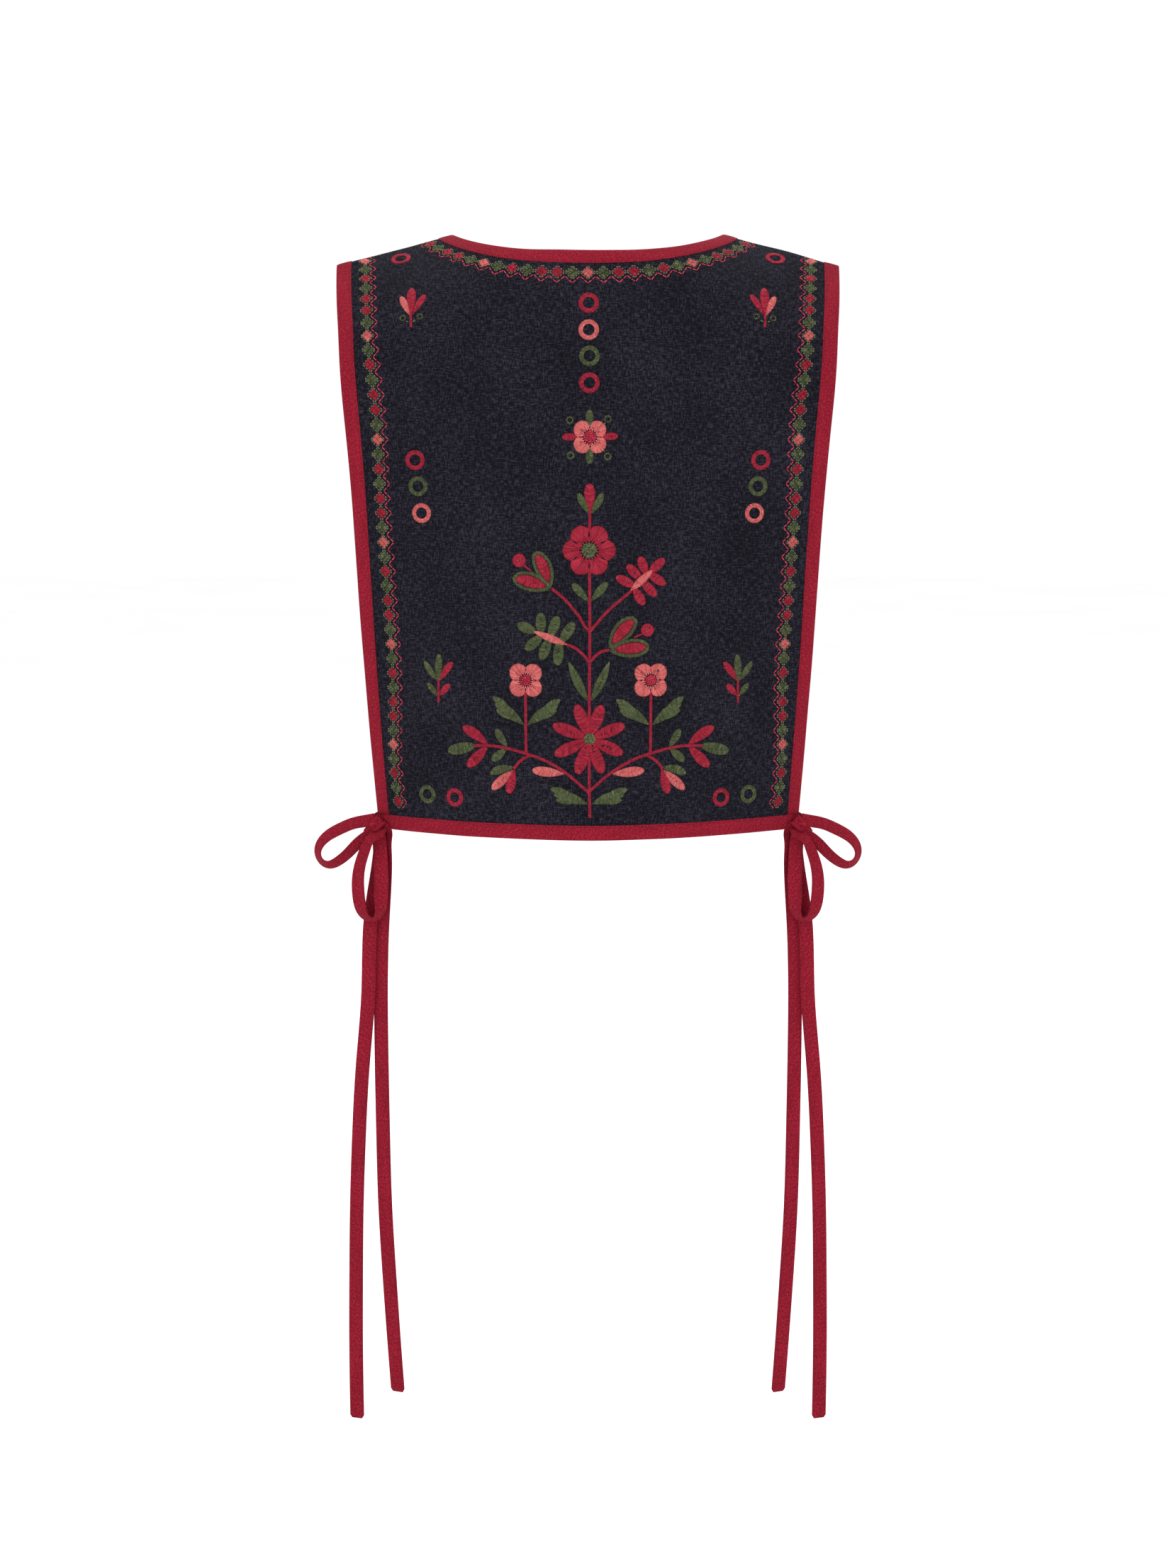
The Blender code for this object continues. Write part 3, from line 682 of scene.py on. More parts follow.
def studio():
    """Camera at the photograph's angle, a pale floor, a white surround and soft lights."""
    scene = bpy.context.scene
    camera = stage_object("photo_camera", bpy.data.cameras.new("photo_camera"), CAMERA_PLACE, CAMERA_AIM)
    camera.data.sensor_fit = "VERTICAL"
    camera.data.sensor_height = SENSOR_HEIGHT
    camera.data.lens = FOCAL_PIXELS * SENSOR_HEIGHT / PHOTO_HEIGHT
    camera.data.clip_start = 0.05
    scene.camera = camera
    scene.view_settings.view_transform = "Standard"
    scene.view_settings.look = "None"

    world = bpy.data.worlds.new("white_surround")
    world.use_nodes = True
    world.node_tree.nodes["Background"].inputs["Color"].default_value = (1.0, 1.0, 1.0, 1.0)
    world.node_tree.nodes["Background"].inputs["Strength"].default_value = WORLD_STRENGTH
    scene.world = world

    level = CAD_BOX[0].z - FLOOR_DROP
    corners = [(FLOOR_HALF * x, FLOOR_HALF * y, level) for x, y in ((-1, -1), (1, -1), (1, 1), (-1, 1))]
    mesh = bpy.data.meshes.new("pale_floor")
    mesh.from_pydata(corners, [], [(0, 1, 2, 3)])
    floor = bpy.data.objects.new("pale_floor", mesh)
    scene.collection.objects.link(floor)
    material, tree, shader = blank_material("pale_floor", 0.9, 0.2)
    where = add_node(tree, "ShaderNodeTexCoord").outputs["Object"]
    soft = stretched_noise(tree, where, (3.0, 3.0, 3.0), 2.0, 0.5)
    tree.links.new(ramp(tree, soft, FLOOR_PLACES, FLOOR_COLOURS), shader.inputs["Base Color"])
    mesh.materials.append(material)

    for name, place, size, power in LIGHTS:
        data = bpy.data.lights.new(name, "AREA")
        data.size = size
        data.energy = power
        stage_object(name, data, place, LIGHT_AIM)


# Linen panels.


ROW_FIRST = 0.0010
ROW_GROWTH = 1.16
ROW_MOST = 0.0046
SHOULDER_COLUMNS = 22
# Rows of the strip along the neckline, as shares of the band, and how far the linen's raw edge keeps back.
NECK_STRIP = (0.1, 0.4, 0.7, 1.0)
RAW_EDGE = 0.0008


def row_shares(length):
    """Shares of the way from the ridge to the hem: short steps at the ridge that grow to a limit."""
    steps = []
    step = ROW_FIRST
    while sum(steps) < length:
        steps.append(step)
        step = min(step * ROW_GROWTH, ROW_MOST)
    return np.concatenate([[0.0], np.cumsum(steps)]) / sum(steps)


def linen_panel(panel, name, material, replaces):
    """One linen panel: columns from the neck band's lower edge or the ridge to the hem, and a neckline strip.

    Columns are crowded where the neckline is steep, and spread to even distances down the panel. Along the
    shoulder the panel runs on past the ridge by a lap, so that no light comes through the seam.
    """
    neck_across, neck_run = neckline(panel)
    rings = [neck_inset(panel, neck_across, neck_run, BAND * part) for part in NECK_STRIP]
    start_across, start_run = rings[-1]
    outer = 1.0 - RAW_EDGE / SHOULDER_HALF
    shoulder = np.linspace(start_across[-1], outer, SHOULDER_COLUMNS)[1:]
    lap = -panel * RIDGE_LAP / EDGE.back_length
    start_run[-1] = lap
    top_across = np.concatenate([start_across, shoulder])
    top_run = np.concatenate([start_run, np.full(len(shoulder), lap)])
    top_across = np.maximum.accumulate(top_across + 1e-6 * np.arange(len(top_across)))
    even_across = np.linspace(0.0, top_across[-1], len(top_across))
    end_run = panel * (1.0 - RAW_EDGE / column_length(even_across, np.full_like(top_across, panel)))
    shares = row_shares(CENTRE.back_length)[:, None]
    run = top_run + (end_run - top_run) * shares
    across = top_across + (even_across - top_across) * (1.0 - (1.0 - shares) ** 2)
    inset = (1.0 - across) * SHOULDER_HALF
    across = np.where(inset < BAND * 1.01, 1.0 - inset / half_width(run), across)
    strip_across = np.array([ring[0] for ring in rings])
    strip_run = np.array([ring[1] for ring in rings])
    points = []
    faces = []
    flats = []
    first = 0
    for grid_across, grid_run in ((across, run), (strip_across, strip_run)):
        for sign in (1.0, -1.0):
            placed = face(grid_across * sign, grid_run)
            placed[:, 0, 0] = 0.0
            rows, columns = grid_run.shape
            faces.append(grid_faces(grid_index(rows, columns, first), (panel < 0) == (sign > 0)))
            points.append(placed.reshape(-1, 3))
            aside, up = to_flat(grid_across * sign, grid_run)
            flats.append(np.stack([aside, up], -1).reshape(-1, 2))
            first += rows * columns
    points, uv = np.concatenate(points), np.concatenate(flats)
    obj = new_piece(name, points, faces, material, uv, replaces=replaces)
    merged(obj)
    wall = obj.modifiers.new("Wall", "SOLIDIFY")
    wall.thickness = LINEN_THICK
    wall.offset = -1.0
    return obj


# Bindings.


# Section of a folded band, in millimetres: distance in from the fold, and height from the linen's middle.
OUTER_SECTION = (
    (12.00, 0.46),
    (11.92, 0.80),
    (11.55, 1.00),
    (11.00, 0.98),
    (10.55, 0.80),
    (10.10, 0.97),
    (9.20, 1.08),
    (7.00, 1.14),
    (4.00, 1.16),
    (1.80, 1.14),
    (0.60, 1.06),
)
FOLD_SECTION = ((-0.25, 0.92), (-0.80, 0.55), (-1.00, 0.0), (-0.80, -0.55), (-0.25, -0.92))
INSIDE_SECTION = ((12.00, -0.40), (1.00, -0.40), (0.70, 0.0), (1.00, 0.40), (12.00, 0.40))


def band_section():
    """The whole closed section: outer face, fold, inner face, and back along the linen."""
    inner = [(distance, -height) for distance, height in reversed(OUTER_SECTION)]
    return np.array(list(OUTER_SECTION) + list(FOLD_SECTION) + inner + list(INSIDE_SECTION)) / 1000.0


def swept_band(inset, edge_across, edge_run, beyond):
    """Section rows by stations round an edge.

    A point further in than the fold lies on the cloth at its distance, raised by its height. A point of the
    fold lies beyond the edge, along beyond and the edge's normal.
    """
    normal = outward(edge_across, edge_run)
    edge = face(edge_across, edge_run)
    rows = []
    for distance, height in band_section():
        lift = height - LINEN_THICK / 2.0
        if distance > 0.0:
            across, run = inset(distance)
            rows.append(face(across, run, np.full(np.shape(across), lift)))
        else:
            rows.append(edge - beyond * distance + normal * lift)
    return np.array(rows)


def along_length(points):
    """Distance along a line of points."""
    steps = np.linalg.norm(np.diff(points, axis=0), axis=-1)
    return np.concatenate([[0.0], np.cumsum(steps)])


def band_piece(name, grid, material, replaces, closed=False, flip=False):
    """A closed section carried along an edge: side faces, and flat ends unless it is a ring."""
    rows, columns = grid.shape[:2]
    index = grid_index(rows, columns, around=True, closed=closed)
    faces = [grid_faces(index, flip)]
    if not closed:
        ends = np.array([index[:-1, 0], index[:-1, -1][::-1]])
        faces.append(ends[:, ::-1] if flip else ends)
    along = along_length(grid[rows // 4])
    section = along_length(grid[:, columns // 2])
    uv = np.stack(np.broadcast_arrays(along[None, :], section[:, None]), -1)
    return new_piece(name, grid, faces, material, uv, replaces=replaces)


# Width of a band's strip that shows on both faces, and the rows of its grid that hold its stitching.
BAND_GROOVES = (4, 22)
TIE_GROOVES = (4, 18)
# Shares of the way to an edge that give the direction beyond it, and a distance that does so at the neck.
NEAR_SIDE = 0.97
NEAR_HEM = 0.98
NEAR_NECK = 0.004
# A side band ends this far from the hem bands.
BAND_GAP = 0.0004
HEM_STATIONS = 121


def side_band_grid(sign):
    """Stations along one side edge, from the back hem band over the shoulder to the front hem band."""
    runs = []
    for panel, length in ((-1, EDGE.back_length), (1, EDGE.front_length)):
        shares = row_shares(length)
        last = 1.0 - (BAND - BAND_GAP) / length
        runs.append(panel * np.maximum(shares * last, RIDGE_GAP / length))
    run = np.concatenate([runs[0][::-1], runs[1]])
    across = np.full_like(run, sign)
    beyond = square_to(outward(across, run), cloth(across, run) - cloth(across * NEAR_SIDE, run))

    def inset(distance):
        return sign * (1.0 - distance / half_width(run)), run

    return swept_band(inset, across, run, beyond)


def hem_band_grid(panel):
    """Stations along a hem from the left side edge to the right."""
    across = np.linspace(-1.0, 1.0, HEM_STATIONS)
    run = np.full_like(across, float(panel))
    length = column_length(across, run)
    beyond = square_to(outward(across, run), cloth(across, run) - cloth(across, run * NEAR_HEM))

    def inset(distance):
        return across, panel * (1.0 - distance / length)

    return swept_band(inset, across, run, beyond)


def neck_band_grid():
    """Stations round the whole neckline: right half from centre back to centre front, then the left."""
    halves = []
    for sign in (1.0, -1.0):
        parts = []
        for panel in (-1, 1):
            across, run = neckline(panel)
            run = off_ridge(panel, run)
            near_across, near_run = neck_inset(panel, across, run, NEAR_NECK)
            away = cloth(across * sign, run) - cloth(near_across * sign, near_run)
            beyond = square_to(outward(across * sign, run), away)

            def inset(distance, across=across, run=run, panel=panel, sign=sign):
                inner = neck_inset(panel, across, run, distance)
                return inner[0] * sign, inner[1]

            grid = swept_band(inset, across * sign, run, beyond)
            grid[:, 0, 0] = 0.0
            parts.append(grid if panel < 0 else grid[:, ::-1])
        halves.append(np.concatenate(parts, axis=1))
    return np.concatenate([halves[0][:, :-1], halves[1][:, ::-1][:, :-1]], axis=1)


# Ties and bows.


TIE_WIDTH = 0.0122
TIE_STATION = 0.0028
LOOP_STATION = 0.0018
LEAD_STATIONS = 24
KNOT_CUT = 0.034
END_ROUND = 0.0026
END_NARROW = 0.28
END_REACH = 0.009
END_SLANT = 0.12
# Section of a folded and stitched tie, in millimetres: place across the width, height from its middle.
TIE_FACE = (
    (-6.10, 0.00),
    (-6.02, 0.30),
    (-5.70, 0.50),
    (-5.20, 0.50),
    (-4.80, 0.36),
    (-4.40, 0.50),
    (-3.00, 0.58),
    (0.00, 0.60),
    (3.50, 0.58),
    (5.40, 0.50),
    (5.95, 0.30),
    (6.10, 0.00),
)
KNOT_CENTRE = (-0.1838, -0.0261, -0.5050)
KNOT_LEAN = -42.0
# Half width, half depth and half length of the wrap.
KNOT_SIZE = (0.0053, 0.0048, 0.0094)
KNOT_COLUMNS = 48
# Outline of the wrap across its width: place from -1 to 1, radius as a share. Dips are its folds.
KNOT_PROFILE = (
    (-1.0, 0.0),
    (-0.985, 0.60),
    (-0.95, 0.84),
    (-0.88, 0.96),
    (-0.78, 1.0),
    (-0.50, 1.015),
    (-0.20, 1.01),
    (0.10, 0.995),
    (0.30, 0.985),
    (0.38, 0.92),
    (0.46, 0.985),
    (0.66, 1.0),
    (0.80, 0.98),
    (0.90, 0.93),
    (0.96, 0.80),
    (0.985, 0.58),
    (1.0, 0.0),
)
KNOT_DRIFT = 0.16
SIDE_LOOP = (
    (-0.1835, -0.0262, -0.4988, 38.0),
    (-0.1900, -0.0262, -0.5000, 38.0),
    (-0.2020, -0.0268, -0.5022, 42.0),
    (-0.2134, -0.0280, -0.5068, 42.0),
    (-0.2256, -0.0295, -0.5140, 48.0),
    (-0.2324, -0.0305, -0.5246, 58.0),
    (-0.2307, -0.0310, -0.5333, 60.0),
    (-0.2240, -0.0312, -0.5376, 50.0),
    (-0.2148, -0.0312, -0.5344, 42.0),
    (-0.2050, -0.0308, -0.5262, 38.0),
    (-0.1975, -0.0300, -0.5185, 36.0),
    (-0.1907, -0.0285, -0.5130, 40.0),
    (-0.1850, -0.0272, -0.5092, 40.0),
)
DROP_LOOP = (
    (-0.1786, -0.0296, -0.5078, 66.0),
    (-0.1810, -0.0359, -0.5110, 66.0),
    (-0.1860, -0.0371, -0.5132, 54.0),
    (-0.1905, -0.0375, -0.5205, 44.0),
    (-0.1950, -0.0375, -0.5335, 38.0),
    (-0.1975, -0.0370, -0.5460, 30.0),
    (-0.1977, -0.0365, -0.5600, 24.0),
    (-0.1962, -0.0360, -0.5728, 30.0),
    (-0.1922, -0.0350, -0.5822, 52.0),
    (-0.1851, -0.0332, -0.5853, 62.0),
    (-0.1798, -0.0318, -0.5794, 50.0),
    (-0.1784, -0.0315, -0.5683, 20.0),
    (-0.1780, -0.0315, -0.5530, 8.0),
    (-0.1784, -0.0310, -0.5370, 6.0),
    (-0.1790, -0.0300, -0.5250, 10.0),
    (-0.1800, -0.0285, -0.5150, 16.0),
    (-0.1812, -0.0275, -0.5088, 20.0),
)
SHORT_TIE = (
    (-0.1782, -0.0242, -0.5032, 50.0),
    (-0.1726, -0.0235, -0.5090, 50.0),
    (-0.1730, -0.0232, -0.5160, 48.0),
    (-0.1736, -0.0226, -0.5300, 42.0),
    (-0.1747, -0.0220, -0.5520, 30.0),
    (-0.1772, -0.0215, -0.5829, 12.0),
    (-0.1795, -0.0210, -0.6514, 4.0),
    (-0.1793, -0.0205, -0.7140, 0.0),
    (-0.1785, -0.0200, -0.7769, -6.0),
    (-0.1771, -0.0200, -0.8401, -4.0),
    (-0.1738, -0.0200, -0.9036, 0.0),
    (-0.1698, -0.0200, -0.9675, 8.0),
    (-0.1670, -0.0200, -1.0078, 10.0),
)
LONG_TIE = (
    (-0.1803, -0.0212, -0.5038, 40.0),
    (-0.1800, -0.0202, -0.5091, 38.0),
    (-0.1806, -0.0222, -0.5300, 32.0),
    (-0.1835, -0.0245, -0.5541, 20.0),
    (-0.1874, -0.0250, -0.5820, 8.0),
    (-0.1903, -0.0252, -0.6505, 0.0),
    (-0.1954, -0.0252, -0.7130, -4.0),
    (-0.1992, -0.0252, -0.7758, 0.0),
    (-0.2016, -0.0252, -0.8389, 6.0),
    (-0.2027, -0.0250, -0.9024, 4.0),
    (-0.2032, -0.0250, -0.9661, 0.0),
    (-0.2027, -0.0250, -1.0301, -6.0),
)
# Its first row lies inside the front hem band, where the lead is caught.
FRONT_LEAD = (
    (-0.1764, 0.0181, -0.5014),
    (-0.1803, 0.0134, -0.5024),
    (-0.1842, 0.0085, -0.5038),
    (-0.1862, 0.0000, -0.5050),
    (-0.1862, -0.0100, -0.5056),
    (-0.1854, -0.0205, -0.5058),
)


def ribbon_frame(rows, station):
    """Centre line, width direction and face direction of a band along a smooth line.

    The width lies square to the line as seen from behind and turns into the depth by the turn angle.
    """
    rows = np.asarray(rows, float)
    line = SmoothLine(rows[:, :3])
    turns = SmoothLine(rows[:, 3:4], line.knots)
    count = int(np.ceil(line.knots[-1] / station)) + 1
    at = np.linspace(0.0, line.knots[-1], count)
    centre = line(at)
    ahead = unit(np.gradient(centre, axis=0))
    flat = unit(np.stack([ahead[:, 2], np.zeros(count), -ahead[:, 0]], axis=-1))
    turn = np.radians(turns(at))
    aside = np.cos(turn) * flat + np.sin(turn) * np.array([0.0, 1.0, 0.0])
    aside = square_to(ahead, aside)
    return centre, aside, np.cross(aside, ahead), ahead


def tie_section():
    """The closed section of a tie: its face, and the same face turned under."""
    top = list(TIE_FACE)
    under = [(place, -height) for place, height in reversed(TIE_FACE[1:-1])]
    return np.array(top + under) / 1000.0


def ribbon_grid(rows, station=TIE_STATION, free=False):
    """Section rows by stations of a tie: place across its width and height along its face direction.

    A free end is cut on a slant with rounded corners: the stations near it slide along by their place across,
    and its width shrinks with the square of the way into the rounding.
    """
    centre, aside, up, ahead = ribbon_frame(rows, station)
    section = tie_section()
    place, height = section[:, :1, None], section[:, 1:, None]
    if free:
        left = along_length(centre)
        left = left[-1] - left
        near = np.clip(1.0 - left / END_ROUND, 0.0, 1.0)[:, None]
        slide = END_SLANT * np.clip(1.0 - left / END_REACH, 0.0, 1.0)[:, None]
        return centre + place * (1.0 - END_NARROW * near**2) * aside - place * slide * ahead + height * up
    return centre + place * aside + height * up


def lead_grid(rows):
    """The lead from the front hem: a tie on edge, its width upright and its face square to its line."""
    line = SmoothLine(rows)
    centre = line(np.linspace(0.0, line.knots[-1], LEAD_STATIONS))
    ahead = unit(np.gradient(centre, axis=0))
    aside = np.broadcast_to((0.0, 0.0, 1.0), ahead.shape)
    section = tie_section()
    return centre + section[:, :1, None] * aside + section[:, 1:, None] * unit(np.cross(aside, ahead))


def knot_points():
    """The wrap: its profile turned round its width line, with folds that drift as a sine of the angle."""
    place, radius = np.array(KNOT_PROFILE).T
    turn = np.linspace(0.0, 2.0 * np.pi, KNOT_COLUMNS, endpoint=False)[:, None]
    drift = KNOT_DRIFT * np.sin(turn + 0.6) * (1.0 - place**2)
    lean = np.radians(KNOT_LEAN)
    wide = KNOT_SIZE[0] * (place + drift)
    long = KNOT_SIZE[2] * radius * np.cos(turn)
    deep = KNOT_SIZE[1] * radius * np.sin(turn)
    x = wide * np.cos(lean) - long * np.sin(lean)
    z = wide * np.sin(lean) + long * np.cos(lean)
    return np.stack([x, deep, z], -1) + KNOT_CENTRE


def add_knot(prefix, side, material):
    """The wrap of one bow, with the doubled points at its two ends joined."""
    points = knot_points() * (-side, 1.0, 1.0)
    rows, columns = points.shape[:2]
    round_it = KNOT_CUT * np.arange(rows)[:, None] / rows
    over_it = TIE_WIDTH * np.arange(columns) / columns
    uv = np.stack(np.broadcast_arrays(round_it, over_it), -1)
    faces = [grid_faces(grid_index(rows, columns, around=True), side > 0)]
    name, replaces = f"{prefix}_knot_wrap", [f"{prefix}_knot"]
    obj = new_piece(name, points, faces, material, uv, replaces=replaces)
    merged(obj)
    return obj


def add_bow(side, material):
    """One bow: knot, loops, free ends and the lead from the front hem. It returns the grids of its ties."""
    prefix = "left" if side < 0 else "right"
    knot = add_knot(prefix, side, material)
    grids = {
        "side_loop": ribbon_grid(SIDE_LOOP, LOOP_STATION),
        "drop_loop": ribbon_grid(DROP_LOOP, LOOP_STATION),
        "short_tie": ribbon_grid(SHORT_TIE, free=True),
        "long_tie": ribbon_grid(LONG_TIE, free=True),
        "front_lead": lead_grid(FRONT_LEAD),
    }
    placed = []
    for name, grid in grids.items():
        grid = grid * (-side, 1.0, 1.0)
        length = along_length(grid[0])[-1]
        replaces = [f"{prefix}_{name}"]
        obj = band_piece(f"{prefix}_{name}_band", grid, material, replaces, flip=side > 0)
        placed.append(grid)
    return placed


# Embroidery. Charts are in millimetres on the flat cloth, as (aside, up) pairs.


PITCH = 0.45
THREAD_HALF = 0.27
THREAD_HEIGHT = 0.42
ALONG_STITCH = np.array([0.0, 0.14, 0.5, 0.86, 1.0])
RISE = np.array([0.82, 1.0, 0.82])
SUNK = -0.12
SIDE_SUNK = -0.04
NARROW = 1.25
EDGE_JITTER = 0.12
TONE_SPREAD = 0.13
# How far satin stands up in the middle of a shape, and by what share its rows cross there.
CROWN = 0.42
CROSSING = 0.12
HEIGHT_SPREAD = 0.1
STITCH_POINTS = 11
STITCH_SIDES = [(row + a, row + b) for row in (1, 4) for a, b in ((0, 1), (1, 2), (2, 0))]
STITCH_QUADS = np.array([(a, b, b + 3, a + 3) for a, b in STITCH_SIDES])
STITCH_ENDS = np.array([(0, 2, 1), (0, 3, 2), (0, 1, 3), (10, 7, 8), (10, 8, 9), (10, 9, 7)])
random = np.random.default_rng(41)


def stitch_piece(name, points, along, tone, material, flip=False):
    """Stitches joined into one mesh: eleven points each, two pinched ends and three triangular rows."""
    count = len(points)
    first = STITCH_POINTS * np.arange(count)[:, None, None]
    faces = [(first + STITCH_QUADS).reshape(-1, 4), (first + STITCH_ENDS).reshape(-1, 3)]
    if flip:
        faces = [group[:, ::-1] for group in faces]
    around = np.array([0.5] + [0.0, 0.5, 1.0] * 3 + [0.5]) * 0.001
    uv = np.stack(np.broadcast_arrays(along, around), -1)
    return new_piece(name, points, faces, material, uv, np.repeat(tone, STITCH_POINTS))


def by_point(rows):
    """Values of the five rows of a stitch, given to its eleven points."""
    return np.concatenate([rows[:, :1], np.repeat(rows[:, 1:4], 3, axis=1), rows[:, 4:]], axis=1)


SEAM_STITCH = 0.0021
SEAM_PITCH = 0.0026
SEAM_HALF = 0.26
SEAM_HEIGHT = 0.24
WHIP_PITCH = 0.0021
WHIP_REACH = 0.0014
# Start past the neck band, unevenness of place, and slant, in metres; half width and height in millimetres.
WHIP_CLEAR = 0.001
WHIP_UNEVEN = 0.0002
WHIP_SLANT = 0.0004
WHIP_HALF = 0.16
WHIP_HEIGHT = 0.14


def raised(centre, rise, half, height):
    """Eleven points of each stitch from its five centre points and their rise, sizes in millimetres."""
    centre, rise = by_point(centre), by_point(unit(rise))
    ahead = unit(centre[:, -1:] - centre[:, :1])
    left = unit(np.cross(rise, ahead))
    side = np.array([0.0] + [half, 0.0, -half] * 3 + [0.0])[:, None] / 1000.0
    top = [SUNK] + [value for share in RISE for value in (SIDE_SUNK, height * share, SIDE_SUNK)] + [SUNK]
    return centre + left * side + rise * np.array(top)[:, None] / 1000.0


def read_at(at, places, values):
    """Rows of values, each column read between its places."""
    return np.stack([np.interp(at, places, column) for column in values.T], -1)


def seam_points(line, rise):
    """Machine stitches of even length along a line of points."""
    length = along_length(line)
    starts = np.arange(0.3 * SEAM_PITCH, length[-1] - SEAM_PITCH, SEAM_PITCH)
    at = starts[:, None] + SEAM_STITCH * ALONG_STITCH
    return raised(read_at(at, length, line), read_at(at, length, rise), SEAM_HALF, SEAM_HEIGHT)


def seam_piece(name, grids, rows, material):
    """One mesh of the machine stitching in the grooves of some bands, on their outer and inner faces."""
    found = []
    for grid in grids:
        outer, inner = grid[rows[0]], grid[rows[1]]
        for line, rise in ((outer, outer - inner), (inner, inner - outer)):
            found.append(seam_points(line, rise))
    points = np.concatenate(found)
    along = np.broadcast_to(by_point(SEAM_STITCH * ALONG_STITCH[None]), points.shape[:2])
    tone = 0.5 + 0.15 * random.standard_normal(len(points))
    return stitch_piece(name, points, along, tone, material)


def whip_stitches(material):
    """Dark stitches that close both shoulder seams over the ridge, from neck band to side band."""
    found = []
    way = np.linspace(-1.0, 1.0, len(ALONG_STITCH))
    for sign in (-1.0, 1.0):
        aside = np.arange(NECK_HALF + BAND + WHIP_CLEAR, SHOULDER_HALF - BAND, WHIP_PITCH)
        aside = (aside + WHIP_UNEVEN * random.standard_normal(len(aside)))[:, None]
        run = WHIP_REACH * way / EDGE.back_length + 0.0 * aside
        across = sign * (aside + WHIP_SLANT * way) / SHOULDER_HALF
        found.append(raised(face(across, run), outward(across, run), WHIP_HALF, WHIP_HEIGHT))
    points = np.concatenate(found)
    along = np.broadcast_to(by_point(WHIP_REACH * ALONG_STITCH[None]), points.shape[:2])
    return stitch_piece("shoulder_stitches", points, along, np.full(len(points), 0.5), material)


class Threads:
    """Stitches of one colour: ends on the chart, half width, height, base, tone and how far the end rises."""

    def __init__(self):
        self.rows = []

    def add(self, start, end, half=THREAD_HALF, height=THREAD_HEIGHT, base=0.0, tone=0.5, crown=0.0):
        start = np.asarray(start, float).reshape(-1, 2)
        end = np.asarray(end, float).reshape(-1, 2)
        tones = tone + TONE_SPREAD * random.standard_normal(len(start))
        heights = height * (1.0 + HEIGHT_SPREAD * random.standard_normal(len(start)))
        sizes = np.stack(np.broadcast_arrays(half, heights, base, tones, crown), -1)
        self.rows.append(np.concatenate([start, end, sizes], axis=1))

    def make(self, name, panel, material, slot):
        """The chart carried onto the cloth: a stitch's sides lie on its face, its top line stands above."""
        rows = np.concatenate(self.rows)
        start, end = rows[:, :2], rows[:, 2:4]
        half, height, base, tone, crown = rows[:, 4:].T
        ahead = unit(end - start)
        left = np.stack([-ahead[:, 1], ahead[:, 0]], -1)
        centre = by_point(start[:, None] + (end - start)[:, None] * ALONG_STITCH[:, None])
        side = np.array([0.0] + [1.0, 0.0, -1.0] * 3 + [0.0])
        flat = centre + left[:, None] * (half[:, None] * side)[..., None]
        top = np.array([0.0] + [value for rise in RISE for value in (0.0, rise, 0.0)] + [0.0])
        sunk = np.array([SUNK] + [SIDE_SUNK, 0.0, SIDE_SUNK] * 3 + [SUNK])
        lift = height[:, None] * top + sunk + base[:, None] + by_point(crown[:, None] * ALONG_STITCH)
        across, run = from_flat(panel, flat[..., 0] / 1000.0, flat[..., 1] / 1000.0)
        length = np.linalg.norm(end - start, axis=-1)
        along = by_point(length[:, None] * ALONG_STITCH) / 1000.0
        return stitch_piece(name, face(across, run, lift / 1000.0), along, tone, material, panel > 0)


def two_rows(threads, left, right, middle, open_share, base=0.0):
    """Satin from both edges to the middle. Each stitch stops short of it or crosses it by an uneven share."""
    for edge in (left, right):
        short = open_share * (1.7 * random.random((len(edge), 1)) - 0.8) - CROSSING
        proud = EDGE_JITTER * (random.random((len(edge), 1)) - 0.3)
        start = edge + unit(edge - middle) * proud
        threads.add(start, middle + (edge - middle) * short, base=base, crown=CROWN)


def evenly(points):
    """Places at even distances along a smooth line through points, and the direction to its left there."""
    line = SmoothLine(points)
    at = np.linspace(0.0, line.knots[-1], 60 * len(points))
    length = along_length(line(at))
    count = max(int(round(length[-1] / PITCH)), 2) + 1
    centre = line(np.interp(np.linspace(0.0, length[-1], count), length, at))
    ahead = unit(np.gradient(centre, axis=0))
    return centre, ahead, np.stack([-ahead[:, 1], ahead[:, 0]], -1)


def stem(threads, points, width=2.6, base=0.0):
    """A stem: two slanted rows of short satin that meet in its middle."""
    centre, ahead, left = evenly(points)
    two_rows(threads, centre + left * width / 2, centre - left * width / 2, centre - ahead * 0.7, 0.25, base)


# Shapes of petals: fullest place from base to tip, power of the rise before it, power of the fall after it.
SHAPES = {
    "bud": (0.70, 0.9, 0.45),
    "drop": (0.62, 0.75, 0.45),
    "oval": (0.55, 0.42, 0.38),
    "spindle": (0.48, 0.8, 0.75),
    "blade": (0.46, 0.66, 0.74),
    "pod": (0.58, 0.62, 0.42),
    "star": (0.58, 0.5, 0.42),
    "leaf": (0.66, 0.85, 0.55),
}
# Satin pulls its edge in, so each petal is worked a little wider than its charted width.
WORKED_WIDER = 1.06
OUTLINE_STEPS = 160
# Where the rows of a petal meet in its middle: least share, and the share for each step along its edge.
LEAN_LEAST = 0.04
LEAN = 0.84


